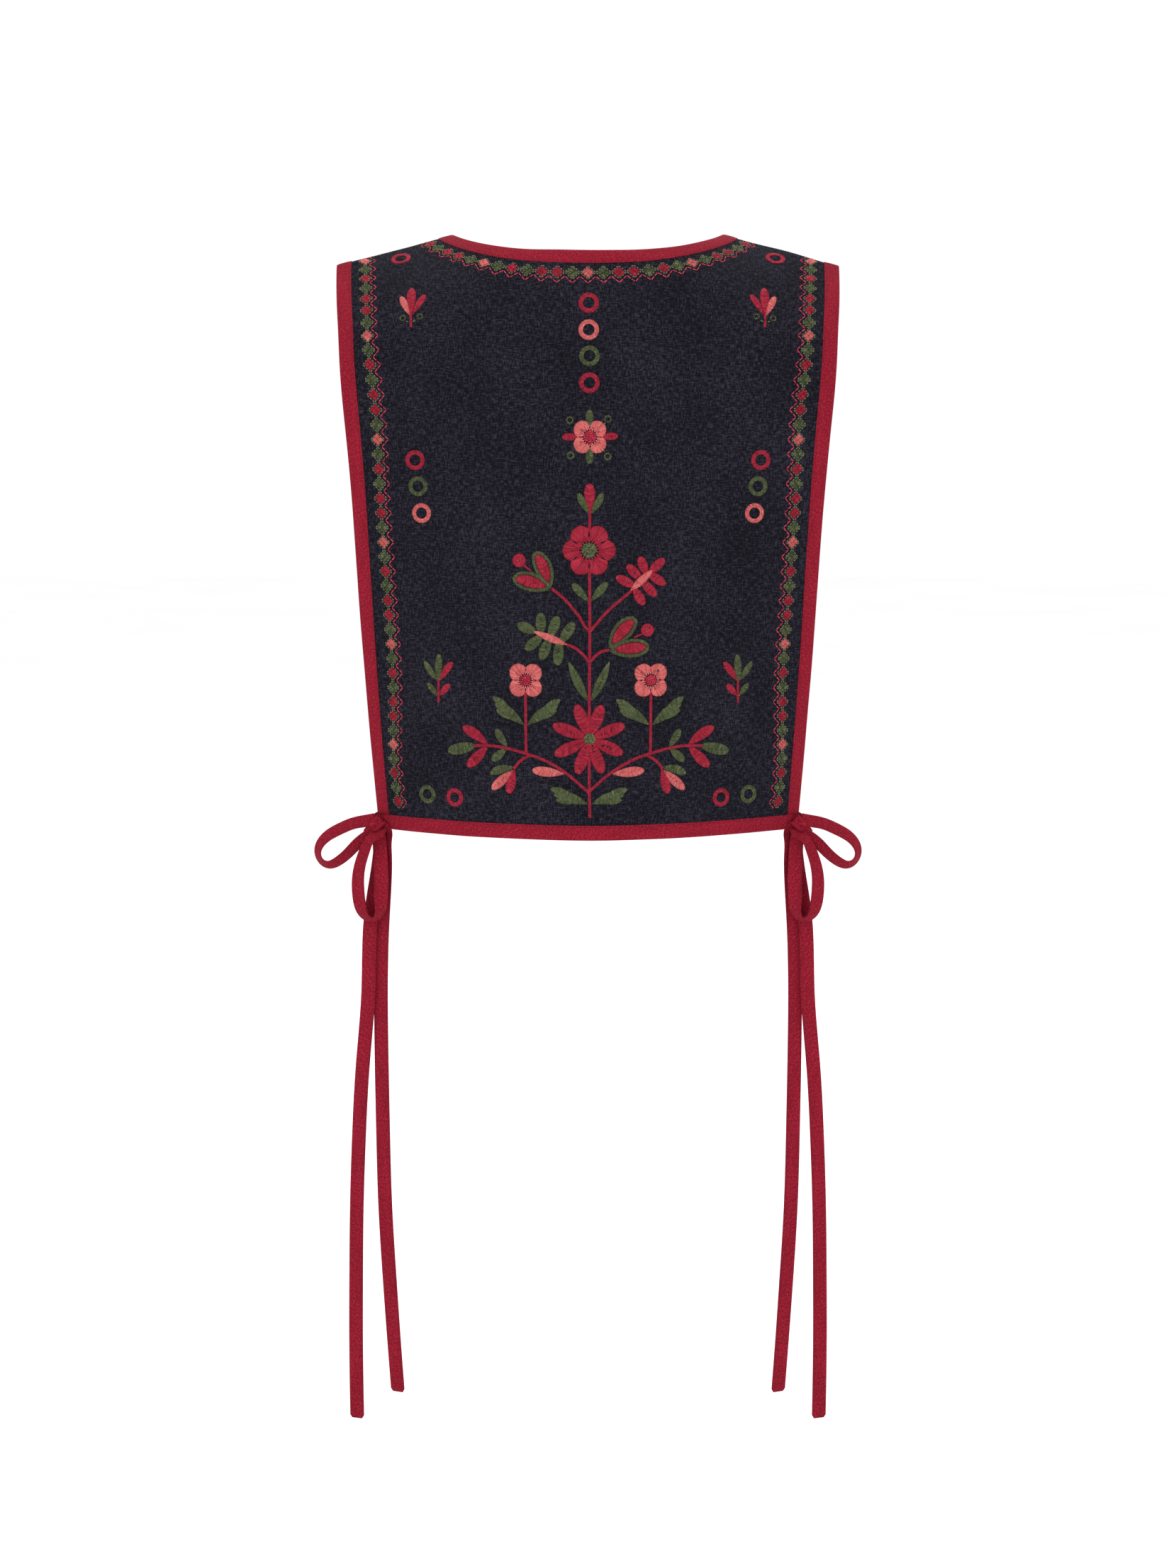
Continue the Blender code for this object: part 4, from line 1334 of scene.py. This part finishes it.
def petal_outline(kind, base, tip, width, bow):
    """Left edge, right edge and middle of a petal.

    The half width is a power of a sine up to the fullest place and a power of a cosine from there to the tip.
    The middle bends aside by bow as a parabola.
    """
    fullest, rise, fall = SHAPES[kind]
    base = np.asarray(base, float)
    axis = np.asarray(tip, float) - base
    aside = unit(np.array([-axis[1], axis[0]]))
    share = np.linspace(0.0, 1.0, OUTLINE_STEPS)
    up = np.sin(np.pi / 2 * np.minimum(share / fullest, 1.0)) ** rise
    down = np.clip(np.cos(np.pi / 2 * np.maximum((share - fullest) / (1.0 - fullest), 0.0)), 0.0, 1.0) ** fall
    half = (WORKED_WIDER * width / 2 * up * down)[:, None] * aside
    middle = base + axis * share[:, None] + aside * (4.0 * bow * share * (1.0 - share))[:, None]
    return middle + half, middle - half, middle


def petal(threads, kind, base, tip, width, open_share, bow=0.0, lift=0.0):
    """A petal in satin: rows at even steps along its edge, which lean towards its base in the middle."""
    left, right, middle = petal_outline(kind, base, tip, width, bow)
    length = along_length(left)
    steps = np.arange(OUTLINE_STEPS)
    even = np.interp(np.arange(0.5 * PITCH, length[-1], PITCH), length, steps)
    start, end = read_at(even, steps, left), read_at(even, steps, right)
    meet = read_at(LEAN_LEAST * OUTLINE_STEPS + even * LEAN, steps, middle)
    half = np.linalg.norm(start - end, axis=-1) / 2
    narrow = (half < NARROW) & (even < SHAPES[kind][0] * OUTLINE_STEPS)
    two_rows(threads, start[~narrow], end[~narrow], meet[~narrow], open_share, lift)
    threads.add(start[narrow], end[narrow], base=lift)


def notched_leaf(threads, base, tip, lobe):
    """A leaf whose end has a pointed tip, a lobe and a small bump between them, worked as four petals."""
    base, tip, lobe = (np.asarray(place, float) for place in (base, tip, lobe))
    end = 0.5 * (tip + lobe)
    turn = np.sign((lobe - base) @ (-(tip - base)[1], (tip - base)[0]) * -1.0)
    petal(threads, "leaf", base, end + unit(base - end) * 2.6, 9.6, 0.2, bow=0.9 * turn)
    petal(threads, "leaf", base + 0.3 * (tip - base), tip, 6.6, 0.15, bow=1.0 * turn, lift=0.04)
    petal(threads, "drop", base + 0.5 * (end - base), end + unit(base - end) * 0.6, 4.6, 0.1, lift=0.08)
    petal(threads, "drop", base + 0.35 * (lobe - base), lobe, 5.4, 0.15, bow=-0.4 * turn, lift=0.12)


LOBE_ROOT = 0.40
LOBE_OPEN = 0.4


def lobed_flower(threads, centre, lobes, first, reach, bulge, inner):
    """Round lobes, each outlined by a circle of radius bulge about a point at reach from the centre.

    Outer stitches run from the outline towards the lobe's root, inner ones from there to the centre.
    """
    part = np.pi / lobes
    meet = reach * np.cos(part) + np.sqrt(bulge**2 - (reach * np.sin(part)) ** 2)
    last = np.arctan2(meet * np.sin(part), meet * np.cos(part) - reach)
    root = np.array([LOBE_ROOT * reach, 0.0])
    for number in range(lobes):
        turn = np.radians(first) + 2.0 * part * number
        rotate = np.array([[np.cos(turn), np.sin(turn)], [-np.sin(turn), np.cos(turn)]])
        angle = np.linspace(-last, last, int(2.0 * last * bulge / PITCH))
        edge = np.stack([reach + bulge * np.cos(angle), bulge * np.sin(angle)], -1)
        keep = LOBE_ROOT + LOBE_OPEN * (random.random((len(edge), 1)) - 0.5)
        start = edge + unit(edge - root) * 0.1
        end = root + (edge - root) * keep
        threads.add(start @ rotate + centre, end @ rotate + centre, crown=0.3)
        angle = np.linspace(-part, part, int(2.0 * part * reach * 0.9 / PITCH))
        inside = inner + (meet - inner) * (0.80 + 0.20 * np.cos(angle / part * np.pi))
        inside = np.maximum(inside - LOBE_OPEN * 7.0 * random.random(len(angle)), inner + 0.8)
        spoke = np.stack([np.cos(angle), np.sin(angle)], -1) @ rotate
        threads.add(centre + spoke * inside[:, None], centre + spoke * inner, base=0.18, tone=0.42)


def ring(threads, centre, outer, inner):
    """A ring of radial satin: two rows that meet in its middle, or one where it is narrow."""
    angle = np.arange(0.0, 2.0 * np.pi, PITCH * 2.0 / (outer + inner))
    spoke = np.stack([np.cos(angle), np.sin(angle)], -1)
    if outer - inner > 2.0:
        middle = np.asarray(centre) + np.roll(spoke, 2, axis=0) * (outer + inner) / 2
        two_rows(threads, centre + spoke * outer, centre + spoke * inner, middle, 0.08)
    else:
        threads.add(centre + spoke * outer, centre + spoke * inner)


def berry(threads, centre, radius):
    """A round berry: radial satin of uneven length, worked to its middle."""
    angle = np.arange(0.0, 2.0 * np.pi, PITCH / radius)
    spoke = np.stack([np.cos(angle), np.sin(angle)], -1)
    inner = radius * np.where(np.arange(len(angle)) % 3, 0.40, 0.05) + 0.7 * random.random(len(angle))
    threads.add(centre + spoke * radius, centre + spoke * inner[:, None])
    disc(threads, centre, 0.5 * radius, base=-0.08)


DISC_STITCH = 1.5
DISC_PITCH = 0.62


def disc(threads, centre, radius, base=0.1):
    """A disc stippled with short stitches on an uneven grid, each at its own small angle."""
    places = np.arange(-radius, radius, DISC_PITCH)
    x, y = (value.ravel() for value in np.meshgrid(places, places))
    x, y = x + 0.25 * random.standard_normal(len(x)), y + 0.12 * random.standard_normal(len(x))
    angle = 0.5 * random.standard_normal(len(x)) + np.radians(20.0)
    reach = DISC_STITCH / 2 * np.stack([np.cos(angle), np.sin(angle)], -1)
    middle = np.stack([x, y], -1)
    kept = np.hypot(x, y) < radius - 0.35
    middle, reach = middle[kept], reach[kept]
    tone = 0.2 + 0.7 * random.random(len(middle))
    threads.add(centre + middle - reach, centre + middle + reach, 0.34, base=base, tone=tone)


DOT_LENGTH = 1.15
DOT_HALF = 0.45


def dots(threads, centre, radius, count):
    """Small radial stitches round a centre."""
    angle = 2.0 * np.pi * (np.arange(count) + 0.5) / count
    spoke = np.stack([np.cos(angle), np.sin(angle)], -1)
    start = centre + spoke * (radius + DOT_LENGTH / 2)
    end = centre + spoke * (radius - DOT_LENGTH / 2)
    threads.add(start, end, DOT_HALF, height=0.55, base=0.1, tone=1.0)


# Dashes on each leg of a border's lines: count, share of gap, half width, height, tone. The lattice's high
# tone is its light olive thread with a painted highlight.
LATTICE_DASHES = (3, 0.26, 0.31, 0.34, 1.05)
ZIGZAG_DASHES = (2, 0.10, 0.44, 0.45, 0.85)


def dashes(threads, start, end, count, gap, half, height, tone):
    """Running stitches: each leg from start to end holds the same count, with small gaps between."""
    share = (np.arange(count)[:, None] + np.array([gap / 2, 1.0 - gap / 2])) / count
    way = (end - start)[:, None]
    for near, far in share:
        threads.add(start + way[:, 0] * near, start + way[:, 0] * far, half, height, 0.0, tone)


DIAMOND_ALONG = 5.4
DIAMOND_ACROSS = 5.1
LATTICE = 5.9
ZIGZAG_NEAR = 3.4
ZIGZAG_FAR = 9.4
DIAMOND_SIDE = np.hypot(DIAMOND_ALONG, DIAMOND_ACROSS)
DIAMOND_JITTER = 0.02
# How far the two halves of a diamond cross each other in its middle, as a share of its side.
HALVES_CROSS = 0.03


def diamond(threads, place, middle, basket):
    """A diamond of satin that lies along one side, in two halves; a basket one turns from block to block."""
    size = 0.5 if basket else 1.0
    for near in np.arange(0.0, 1.0, size):
        for start in np.arange(0.0, 1.0, 0.5):
            turned = basket and (near > 0) != (start > 0)
            count = int(DIAMOND_SIDE * size / PITCH)
            row = near + size * (np.arange(count) + 0.5) / count
            ends = []
            for end in (start, start + 0.5):
                put = end + DIAMOND_JITTER * random.standard_normal(count)
                if end == 0.5:
                    put += HALVES_CROSS if start == 0.0 else -HALVES_CROSS
                first, second = (put - start + near, row - near + start) if turned else (row, put)
                along = middle + (first + second - 1.0) * DIAMOND_ALONG
                ends.append(place(along, (first - second) * DIAMOND_ACROSS))
            ends = ends[::-1] if start > 0 else ends
            threads.add(*ends, height=0.38, tone=0.56 if turned else 0.46, crown=0.0 if basket else 0.2)


def border(threads, place, middles, pitch, colours):
    """Diamonds in a dashed lattice with a dashed zigzag on one side.

    place gives a charted point from the distance along the border and the distance from its middle line,
    which counts towards the zigzag.
    """
    for middle, colour in zip(middles, colours):
        diamond(threads[colour], place, middle, colour == "green")
    for past in (-pitch / 2, pitch / 2):
        for side in (-LATTICE, LATTICE):
            dashes(threads["green"], place(middles + past, 0.0), place(middles, side), *LATTICE_DASHES)
        near, far = place(middles + past, ZIGZAG_NEAR), place(middles, ZIGZAG_FAR)
        dashes(threads["crimson"], near, far, *ZIGZAG_DASHES)


SIDE_TOP = 6.7
SIDE_COUNT = 40
SIDE_PITCH = 12.587
# Where the border lies on its way to the side edge, and the heights between which its insets are read.
SIDE_PLACE = 0.889
INSET_RANGE = (10.0, 530.0)
# Distance of the side border's middle line from the edge of the flat cloth, by height above the hem.
SIDE_INSETS = (
    (24.8, 23.6),
    (50.8, 22.1),
    (76.0, 23.3),
    (102.5, 25.5),
    (128.1, 27.2),
    (203.5, 26.5),
    (241.0, 25.6),
    (316.5, 25.4),
    (366.8, 26.6),
    (416.0, 24.3),
    (465.0, 24.3),
    (515.7, 23.5),
)
SIDE_COLOURS = ("coral", "green", "crimson", "green", "crimson", "crimson", "green")
NECK_INSET = 0.0207
NECK_PITCH = 12.8
NECK_COLOURS = (
    ("coral", "green", "crimson", "crimson", "green", "crimson", "green")
    + ("coral", "green", "crimson", "crimson", "green", "crimson")
)


def side_border(threads, panel, sign):
    """The border down one side: it keeps an uneven distance to the edge, as worked by hand."""
    insets = np.array(SIDE_INSETS)
    edge = SmoothLine(insets[:, 1:], insets[:, 0])
    top = 1000.0 * float(column_length(SIDE_PLACE, float(panel))) - SIDE_TOP

    def place(along, off):
        up = top - along
        share = np.clip(1.0 - up / (top + SIDE_TOP), 0.0, 1.0)
        wide = 1000.0 * half_width(panel * np.maximum(share, 1e-6))
        across = wide - edge(np.clip(up, *INSET_RANGE))[..., 0] - off
        return np.stack(np.broadcast_arrays(sign * across, up), -1)

    numbers = np.arange(SIDE_COUNT)
    colours = [SIDE_COLOURS[n % len(SIDE_COLOURS)] for n in numbers]
    border(threads, place, SIDE_PITCH * numbers, SIDE_PITCH, colours)


def neck_border(threads, panel):
    """The border round the neckline, worked outwards from the centre line on both sides."""
    across, run = neckline(panel)
    across, run = neck_inset(panel, across, run, NECK_INSET)
    aside, up = to_flat(across, run)
    half = 1000.0 * np.stack([aside, up], -1)
    whole = np.concatenate([half[::-1] * (-1.0, 1.0), half[1:]])
    line = SmoothLine(whole)
    reach = line.knots[-1] / 2.0
    count = int((reach - 3.0) / NECK_PITCH)

    def place(along, off):
        at = np.asarray(along, float) + reach
        ahead = unit(line(at + 0.5) - line(at - 0.5))
        down = np.stack([ahead[..., 1], -ahead[..., 0]], -1)
        return line(at) + down * np.asarray(off, float)[..., None]

    numbers = np.arange(-count, count + 1)
    colours = [NECK_COLOURS[abs(n) % len(NECK_COLOURS)] for n in numbers]
    border(threads, place, NECK_PITCH * numbers, NECK_PITCH, colours)


# The tree is charted from its own stem, which stands a little to one side of the centre line.
TREE_LINE = 1.2
# Middle of the plants that repeat on the left and right, from the stem.
MIRROR_LINE = -1.0
STEMS = (
    ((0.4, 279.4), (0.0, 262.5)),
    ((0.0, 229.5), (0.3, 173.1), (0.0, 136.5), (0.0, 91.0)),
    ((0.1, 81.5), (-0.1, 42.9), (0.4, 18.8)),
    ((-31.2, 212.8), (-21.6, 205.1), (-14.3, 196.9), (-7.9, 188.7), (-4.3, 182.3), (-0.8, 177.9)),
    ((34.9, 210.9), (26.7, 204.1), (17.1, 195.9), (9.3, 187.7), (4.8, 182.3), (1.0, 177.9)),
    ((-18.0, 165.8), (-12.5, 163.5), (-7.0, 159.4), (-2.5, 154.4), (-0.6, 152.0)),
    ((15.7, 161.4), (10.3, 160.3), (5.7, 157.1), (2.1, 153.4), (0.8, 152.0)),
)
MIRRORED_STEMS = (
    ((-54.3, 124.4), (-54.1, 73.7)),
    (
        ((-0.6, 40.6), (-9.5, 48.4), (-20.5, 57.4), (-33.5, 65.2), (-45.6, 70.4))
        + ((-53.0, 72.6), (-70.7, 77.0), (-86.5, 78.7), (-100.9, 78.1))
    ),
    ((-50.8, 71.6), (-59.7, 66.0), (-64.7, 59.8)),
)
# Petals and leaves: colour, shape, base, tip, width, how open its middle is, bow to the left of base to tip.
PETALS = (
    ("crimson", "oval", (-10.4, 340.0), (-22.8, 340.1), 6.3, 0.2, 0.0),
    ("crimson", "oval", (11.1, 340.0), (23.8, 341.0), 6.3, 0.3, 0.0),
    ("green", "oval", (0.1, 349.2), (0.1, 362.6), 6.6, 0.1, 0.0),
    ("green", "oval", (0.1, 330.6), (0.1, 317.4), 6.6, 0.1, 0.0),
    ("green", "drop", (-0.1, 276.2), (-9.4, 293.3), 6.2, 0.1, 0.4),
    ("green", "drop", (1.3, 276.2), (11.3, 293.3), 6.4, 0.1, -0.4),
    ("crimson", "bud", (0.4, 277.4), (0.1, 301.4), 9.2, 0.15, 0.0),
    ("green", "drop", (-0.9, 202.6), (-14.3, 217.7), 7.0, 0.1, 0.0),
    ("green", "drop", (1.4, 202.9), (15.2, 218.6), 7.0, 0.1, 0.0),
    ("crimson", "oval", (47.7, 225.4), (42.4, 240.1), 8.1, 0.2, 0.0),
    ("crimson", "oval", (43.2, 221.3), (31.6, 233.1), 8.1, 0.3, 0.0),
    ("crimson", "oval", (38.2, 215.2), (22.3, 223.3), 8.1, 0.35, 0.0),
    ("crimson", "oval", (50.9, 227.2), (63.4, 238.2), 8.1, 0.1, 0.0),
    ("crimson", "oval", (49.5, 226.4), (64.3, 216.2), 8.1, 0.3, 0.0),
    ("crimson", "oval", (44.2, 219.6), (56.4, 206.7), 8.1, 0.3, 0.0),
    ("crimson", "oval", (37.7, 213.2), (46.0, 199.4), 8.1, 0.3, 0.0),
    ("green", "oval", (-45.4, 176.6), (-61.0, 183.2), 9.0, 0.1, 0.0),
    ("green", "oval", (-40.9, 175.1), (-40.8, 193.1), 9.0, 0.5, 0.0),
    ("green", "oval", (-33.0, 173.4), (-26.3, 190.1), 9.0, 0.4, 0.0),
    ("green", "oval", (-24.0, 168.6), (-12.9, 184.8), 9.0, 0.45, 0.0),
    ("green", "oval", (-40.2, 173.2), (-54.1, 161.3), 9.0, 0.45, 0.0),
    ("green", "oval", (-33.6, 171.2), (-40.8, 153.2), 9.0, 0.4, 0.0),
    ("green", "oval", (-25.2, 169.0), (-26.9, 148.5), 9.2, 0.45, 0.0),
    ("green", "blade", (-1.8, 119.1), (-17.6, 152.0), 7.6, 0.25, 0.6),
    ("green", "blade", (1.6, 119.1), (17.0, 152.0), 7.6, 0.4, -0.6),
)
SPINES = (
    ((34.4, 211.4), (53.7, 229.3), 6.6),
    ((-18.0, 165.8), (-47.5, 177.4), 6.3),
)
# Pods: base, tip, width, bow.
PODS = (
    ((-32.5, 214.6), (-45.3, 244.4), 14.6, -0.9),
    ((-32.5, 213.7), (-64.6, 222.6), 15.4, -0.5),
    ((16.7, 163.5), (38.8, 188.7), 15.2, 0.9),
    ((17.1, 161.2), (50.8, 164.0), 15.0, 0.2),
)
POD_RIM = 2.9
BERRIES = (
    ((-59.2, 236.8), 6.0, (-54.6, 232.4), (-48.8, 227.8)),
    ((49.1, 178.1), 5.8, (44.0, 174.6), (37.6, 172.0)),
)
MIRRORED_PETALS = (
    ("coral", "drop", (-21.5, 56.3), (-49.1, 58.8), 8.6, 0.3, 0.0),
    ("green", "drop", (-64.2, 60.6), (-86.1, 54.7), 7.6, 0.1, -1.4),
    ("coral", "drop", (-66.0, 58.1), (-84.7, 41.0), 8.2, 0.45, 0.0),
    ("crimson", "bud", (-64.0, 60.6), (-69.9, 37.8), 8.4, 0.08, 0.0),
    ("crimson", "drop", (-87.8, 79.6), (-110.8, 94.4), 9.4, 0.2, -0.8),
    ("crimson", "drop", (-87.8, 78.8), (-107.1, 59.5), 9.4, 0.5, 0.4),
    ("green", "oval", (-100.0, 78.1), (-125.2, 72.3), 10.2, 0.5, 0.0),
    ("green", "drop", (-70.6, 78.0), (-80.5, 93.3), 7.2, 0.15, 0.3),
    ("green", "drop", (-71.4, 76.6), (-84.4, 65.6), 7.6, 0.15, 0.0),
)
# Leaves with a notched end: base, tip, lobe.
MIRRORED_LEAVES = (
    ((-52.9, 97.4), (-24.4, 119.7), (-27.6, 110.9)),
    ((-55.7, 97.3), (-83.3, 120.8), (-80.0, 110.4)),
)
LEAVES = (
    ((-1.6, 30.7), (-33.3, 43.5), (-28.3, 34.1)),
    ((1.9, 30.7), (32.5, 43.0), (27.5, 34.0)),
)
# Flowers of round lobes: colour, centre, lobes, first angle, reach, bulge, radius of the eye, its colour.
FLOWERS = (
    ("coral", (0.4, 340.0), 4, 45.0, 8.5, 7.9, 5.5, "crimson"),
    ("crimson", (-0.2, 245.4), 6, 0.0, 13.8, 9.2, 6.5, "green"),
    ("coral", (-54.1, 135.6), 4, 45.0, 9.0, 8.0, 5.0, "crimson"),
    ("coral", (52.1, 135.6), 4, 45.0, 9.0, 8.0, 5.0, "crimson"),
)
EYE_DOTS = 18
STAR_CENTRE = (0.2, 86.3)
STAR_TIPS = (
    (-11.2, 115.5),
    (10.6, 115.2),
    (30.0, 98.0),
    (28.5, 73.1),
    (11.0, 56.7),
    (-10.5, 56.2),
    (-29.6, 72.1),
    (-31.2, 98.0),
)
STAR_WIDTH = 10.6
STAR_EYE = 4.9
# Rings on the centre line and at both sides: colour, centre, outer and inner radius.
CENTRE_RINGS = (
    ("crimson", (0.6, 451.4), 8.7, 4.7),
    ("coral", (0.6, 428.8), 8.7, 4.7),
    ("green", (1.2, 407.1), 8.7, 4.7),
    ("crimson", (1.2, 384.8), 8.7, 4.7),
    ("green", (-15.2, 353.9), 3.3, 1.7),
    ("green", (16.5, 354.9), 3.3, 1.7),
    ("green", (-14.6, 324.7), 3.4, 1.7),
    ("green", (16.4, 323.9), 3.4, 1.7),
)
SIDE_RINGS = (
    ("crimson", (-158.6, 514.5), 8.6, 4.8),
    ("crimson", (-147.0, 321.7), 8.6, 4.7),
    ("green", (-145.2, 299.4), 8.6, 4.7),
    ("coral", (-142.7, 276.5), 8.6, 4.7),
    ("green", (-144.8, 33.5), 8.2, 4.3),
    ("crimson", (-118.0, 32.3), 8.2, 4.3),
    ("green", (-155.4, 442.1), 2.9, 1.5),
    ("green", (-140.8, 442.7), 2.9, 1.5),
)
# Sprigs at both sides, charted on the left.
SPRIG_STEMS = (((-148.7, 446.8), (-148.2, 433.2)), ((-131.5, 114.9), (-131.0, 134.2)))
SPRIG_PETALS = (
    ("coral", "drop", (-149.6, 444.6), (-157.4, 463.8), 6.0, 0.05, 0.0),
    ("crimson", "bud", (-147.5, 444.0), (-136.3, 463.5), 6.0, 0.05, 0.5),
    ("crimson", "bud", (-148.7, 443.5), (-148.1, 471.8), 8.0, 0.05, 0.0),
    ("green", "drop", (-132.2, 133.2), (-143.8, 149.5), 5.8, 0.05, 0.5),
    ("green", "oval", (-131.6, 133.0), (-130.0, 156.1), 6.8, 0.05, 0.0),
    ("crimson", "drop", (-130.4, 132.9), (-117.6, 149.6), 6.2, 0.05, 0.5),
    ("green", "drop", (-132.2, 120.0), (-141.2, 130.6), 5.4, 0.05, 0.0),
    ("crimson", "drop", (-130.4, 120.3), (-120.9, 130.5), 6.0, 0.05, 0.0),
)
SPRIG_LINKS = (((-152.8, 439.3), (-150.4, 438.4)), ((-146.9, 437.9), (-144.5, 439.6)))
FLOWER_LINKS = (
    ((-9.8, 349.2), (-11.8, 351.0)),
    ((11.6, 350.2), (13.4, 352.0)),
    ((-9.4, 330.4), (-11.2, 328.2)),
    ((10.8, 330.0), (12.8, 327.6)),
)


def moved(places, line=0.0, mirror=None):
    """Charted places, mirrored about a line where one is given and moved aside by another."""
    places = np.array(places, float)
    if mirror is not None:
        places[..., 0] = 2.0 * mirror - places[..., 0]
    return places + (line, 0.0)


def petals(threads, chart, line=0.0, mirror=None):
    """Petals of a chart; a mirrored one bows the other way."""
    for colour, kind, base, tip, width, gap, bow in chart:
        ends = moved((base, tip), line, mirror)
        petal(threads[colour], kind, *ends, width, gap, bow if mirror is None else -bow)


def links(threads, chart, line=0.0, mirror=None):
    """Single green stitches between a flower and what stands beside it."""
    for ends in chart:
        threads["green"].add(*moved(ends, line, mirror)[:, None], half=0.3, tone=0.9)


def pod(threads, base, tip, width, bow):
    """A pod: a rim of green satin in two rows round a crimson filling."""
    left, right, _ = petal_outline("pod", base, tip, width, bow)
    outline = np.concatenate([left, right[::-1][1:]])
    outer, ahead, side = evenly(outline[::6])
    axis = unit(np.array(tip) - np.array(base))
    room = np.abs((outer - base) @ np.array([-axis[1], axis[0]])) / np.maximum(np.abs(ahead @ axis), 0.05)
    inner = outer - side * np.minimum(POD_RIM, 0.95 * room)[:, None]
    two_rows(threads["green"], outer, inner, (outer + inner) / 2 - ahead * 0.5, 0.08, 0.1)
    near = np.array(base) + axis * POD_RIM * 1.4
    far = np.array(tip) - axis * (POD_RIM - 0.2)
    petal(threads["crimson"], "pod", near, far, width - 2.0 * POD_RIM + 0.4, 0.25, bow)


def stitch_tree(threads):
    """The tree on the back: stems first, then leaves, petals and flowers over their ends."""
    for points in STEMS:
        stem(threads["crimson"], moved(points, TREE_LINE))
    for mirror in (None, MIRROR_LINE):
        for points in MIRRORED_STEMS:
            stem(threads["crimson"], moved(points, TREE_LINE, mirror))
        petals(threads, MIRRORED_PETALS, TREE_LINE, mirror)
        for leaf in MIRRORED_LEAVES:
            notched_leaf(threads["green"], *moved(leaf, TREE_LINE, mirror))
    for leaf in LEAVES:
        notched_leaf(threads["green"], *moved(leaf, TREE_LINE))
    petals(threads, PETALS, TREE_LINE)
    for base, tip, width in SPINES:
        petal(threads["coral"], "spindle", *moved((base, tip), TREE_LINE), width, 0.0, lift=0.3)
    for base, tip, width, bow in PODS:
        pod(threads, *moved((base, tip), TREE_LINE), width, bow)
    for centre, radius, near, far in BERRIES:
        berry(threads["crimson"], moved(centre, TREE_LINE), radius)
        stem(threads["crimson"], moved((near, far), TREE_LINE), 1.5)
    star = moved(STAR_CENTRE, TREE_LINE)
    for tip in STAR_TIPS:
        end = moved(tip, TREE_LINE)
        petal(threads["crimson"], "star", star + unit(end - star) * 3.4, end, STAR_WIDTH, 0.5)
    disc(threads["green"], star, STAR_EYE, base=0.25)
    for colour, centre, lobes, first, reach, bulge, eye, eye_colour in FLOWERS:
        middle = moved(centre, TREE_LINE)
        lobed_flower(threads[colour], middle, lobes, first, reach, bulge, eye + 1.0)
        disc(threads[eye_colour], middle, eye)
        dots(threads[colour], middle, eye + 0.75, EYE_DOTS)
    links(threads, FLOWER_LINKS, TREE_LINE)


def stitch_sides(threads):
    """Rings on the centre line, and rings and sprigs that repeat on both sides."""
    for colour, centre, outer, inner in CENTRE_RINGS:
        ring(threads[colour], centre, outer, inner)
    for mirror in (None, 0.0):
        for colour, centre, outer, inner in SIDE_RINGS:
            ring(threads[colour], moved(centre, 0.0, mirror), outer, inner)
        for points in SPRIG_STEMS:
            stem(threads["crimson"], moved(points, 0.0, mirror), 2.1)
        petals(threads, SPRIG_PETALS, mirror=mirror)
        links(threads, SPRIG_LINKS, mirror=mirror)


def new_threads():
    """Empty threads of each floss colour."""
    return {colour: Threads() for colour in FLOSS_COLOURS}


def stitch_panels(materials):
    """All the embroidery: one mesh for each colour of the tree and of each panel's borders."""
    tree = new_threads()
    stitch_tree(tree)
    stitch_sides(tree)
    groups = [("back_tree", -1, tree)]
    for panel, name in ((-1, "back_border"), (1, "front_border")):
        threads = new_threads()
        neck_border(threads, panel)
        for sign in (-1.0, 1.0):
            side_border(threads, panel, sign)
        groups.append((name, panel, threads))
    for name, panel, threads in groups:
        for colour, stitches in threads.items():
            stitches.make(f"{name}_{colour}", panel, materials[colour], f"{colour}_thread")


clear_of_frame()
studio()
LINEN = linen_material()
CRIMSON = bias_material()
FLOSS = {name: thread_material(f"{name}_floss", colours) for name, colours in FLOSS_COLOURS.items()}
# Its colours hold painted groove shade as well as the thread's own darker crimson.
SEWING_WITH_GROOVE_SHADE = thread_material("crimson_sewing_thread_and_groove_shade", SEWING_AND_GROOVE_SHADE_COLOURS)

back = linen_panel(-1, "back_linen", LINEN, ["back_panel"])
front = linen_panel(1, "front_linen", LINEN, ["front_panel"])

band_grids = []
bands = [("neck_band", "neck_binding", neck_band_grid(), True, False)]
for sign, prefix in ((-1.0, "left"), (1.0, "right")):
    bands.append((f"{prefix}_side_band", f"{prefix}_side_binding", side_band_grid(sign), False, sign < 0))
for panel, prefix in ((-1, "back"), (1, "front")):
    bands.append((f"{prefix}_hem_band", f"{prefix}_hem_binding", hem_band_grid(panel), False, panel > 0))
for name, node, grid, closed, flip in bands:
    obj = band_piece(name, grid, CRIMSON, [node], closed, flip)
    length = along_length(grid[BAND_GROOVES[0]])[-1]
    band_grids.append(grid)
tie_grids = [grid for side in (-1, 1) for grid in add_bow(side, CRIMSON)]

seam_piece("band_stitching", band_grids, BAND_GROOVES, SEWING_WITH_GROOVE_SHADE)
seam_piece("tie_stitching", tie_grids, TIE_GROOVES, SEWING_WITH_GROOVE_SHADE)
whip_stitches(LINEN)
stitch_panels(FLOSS)
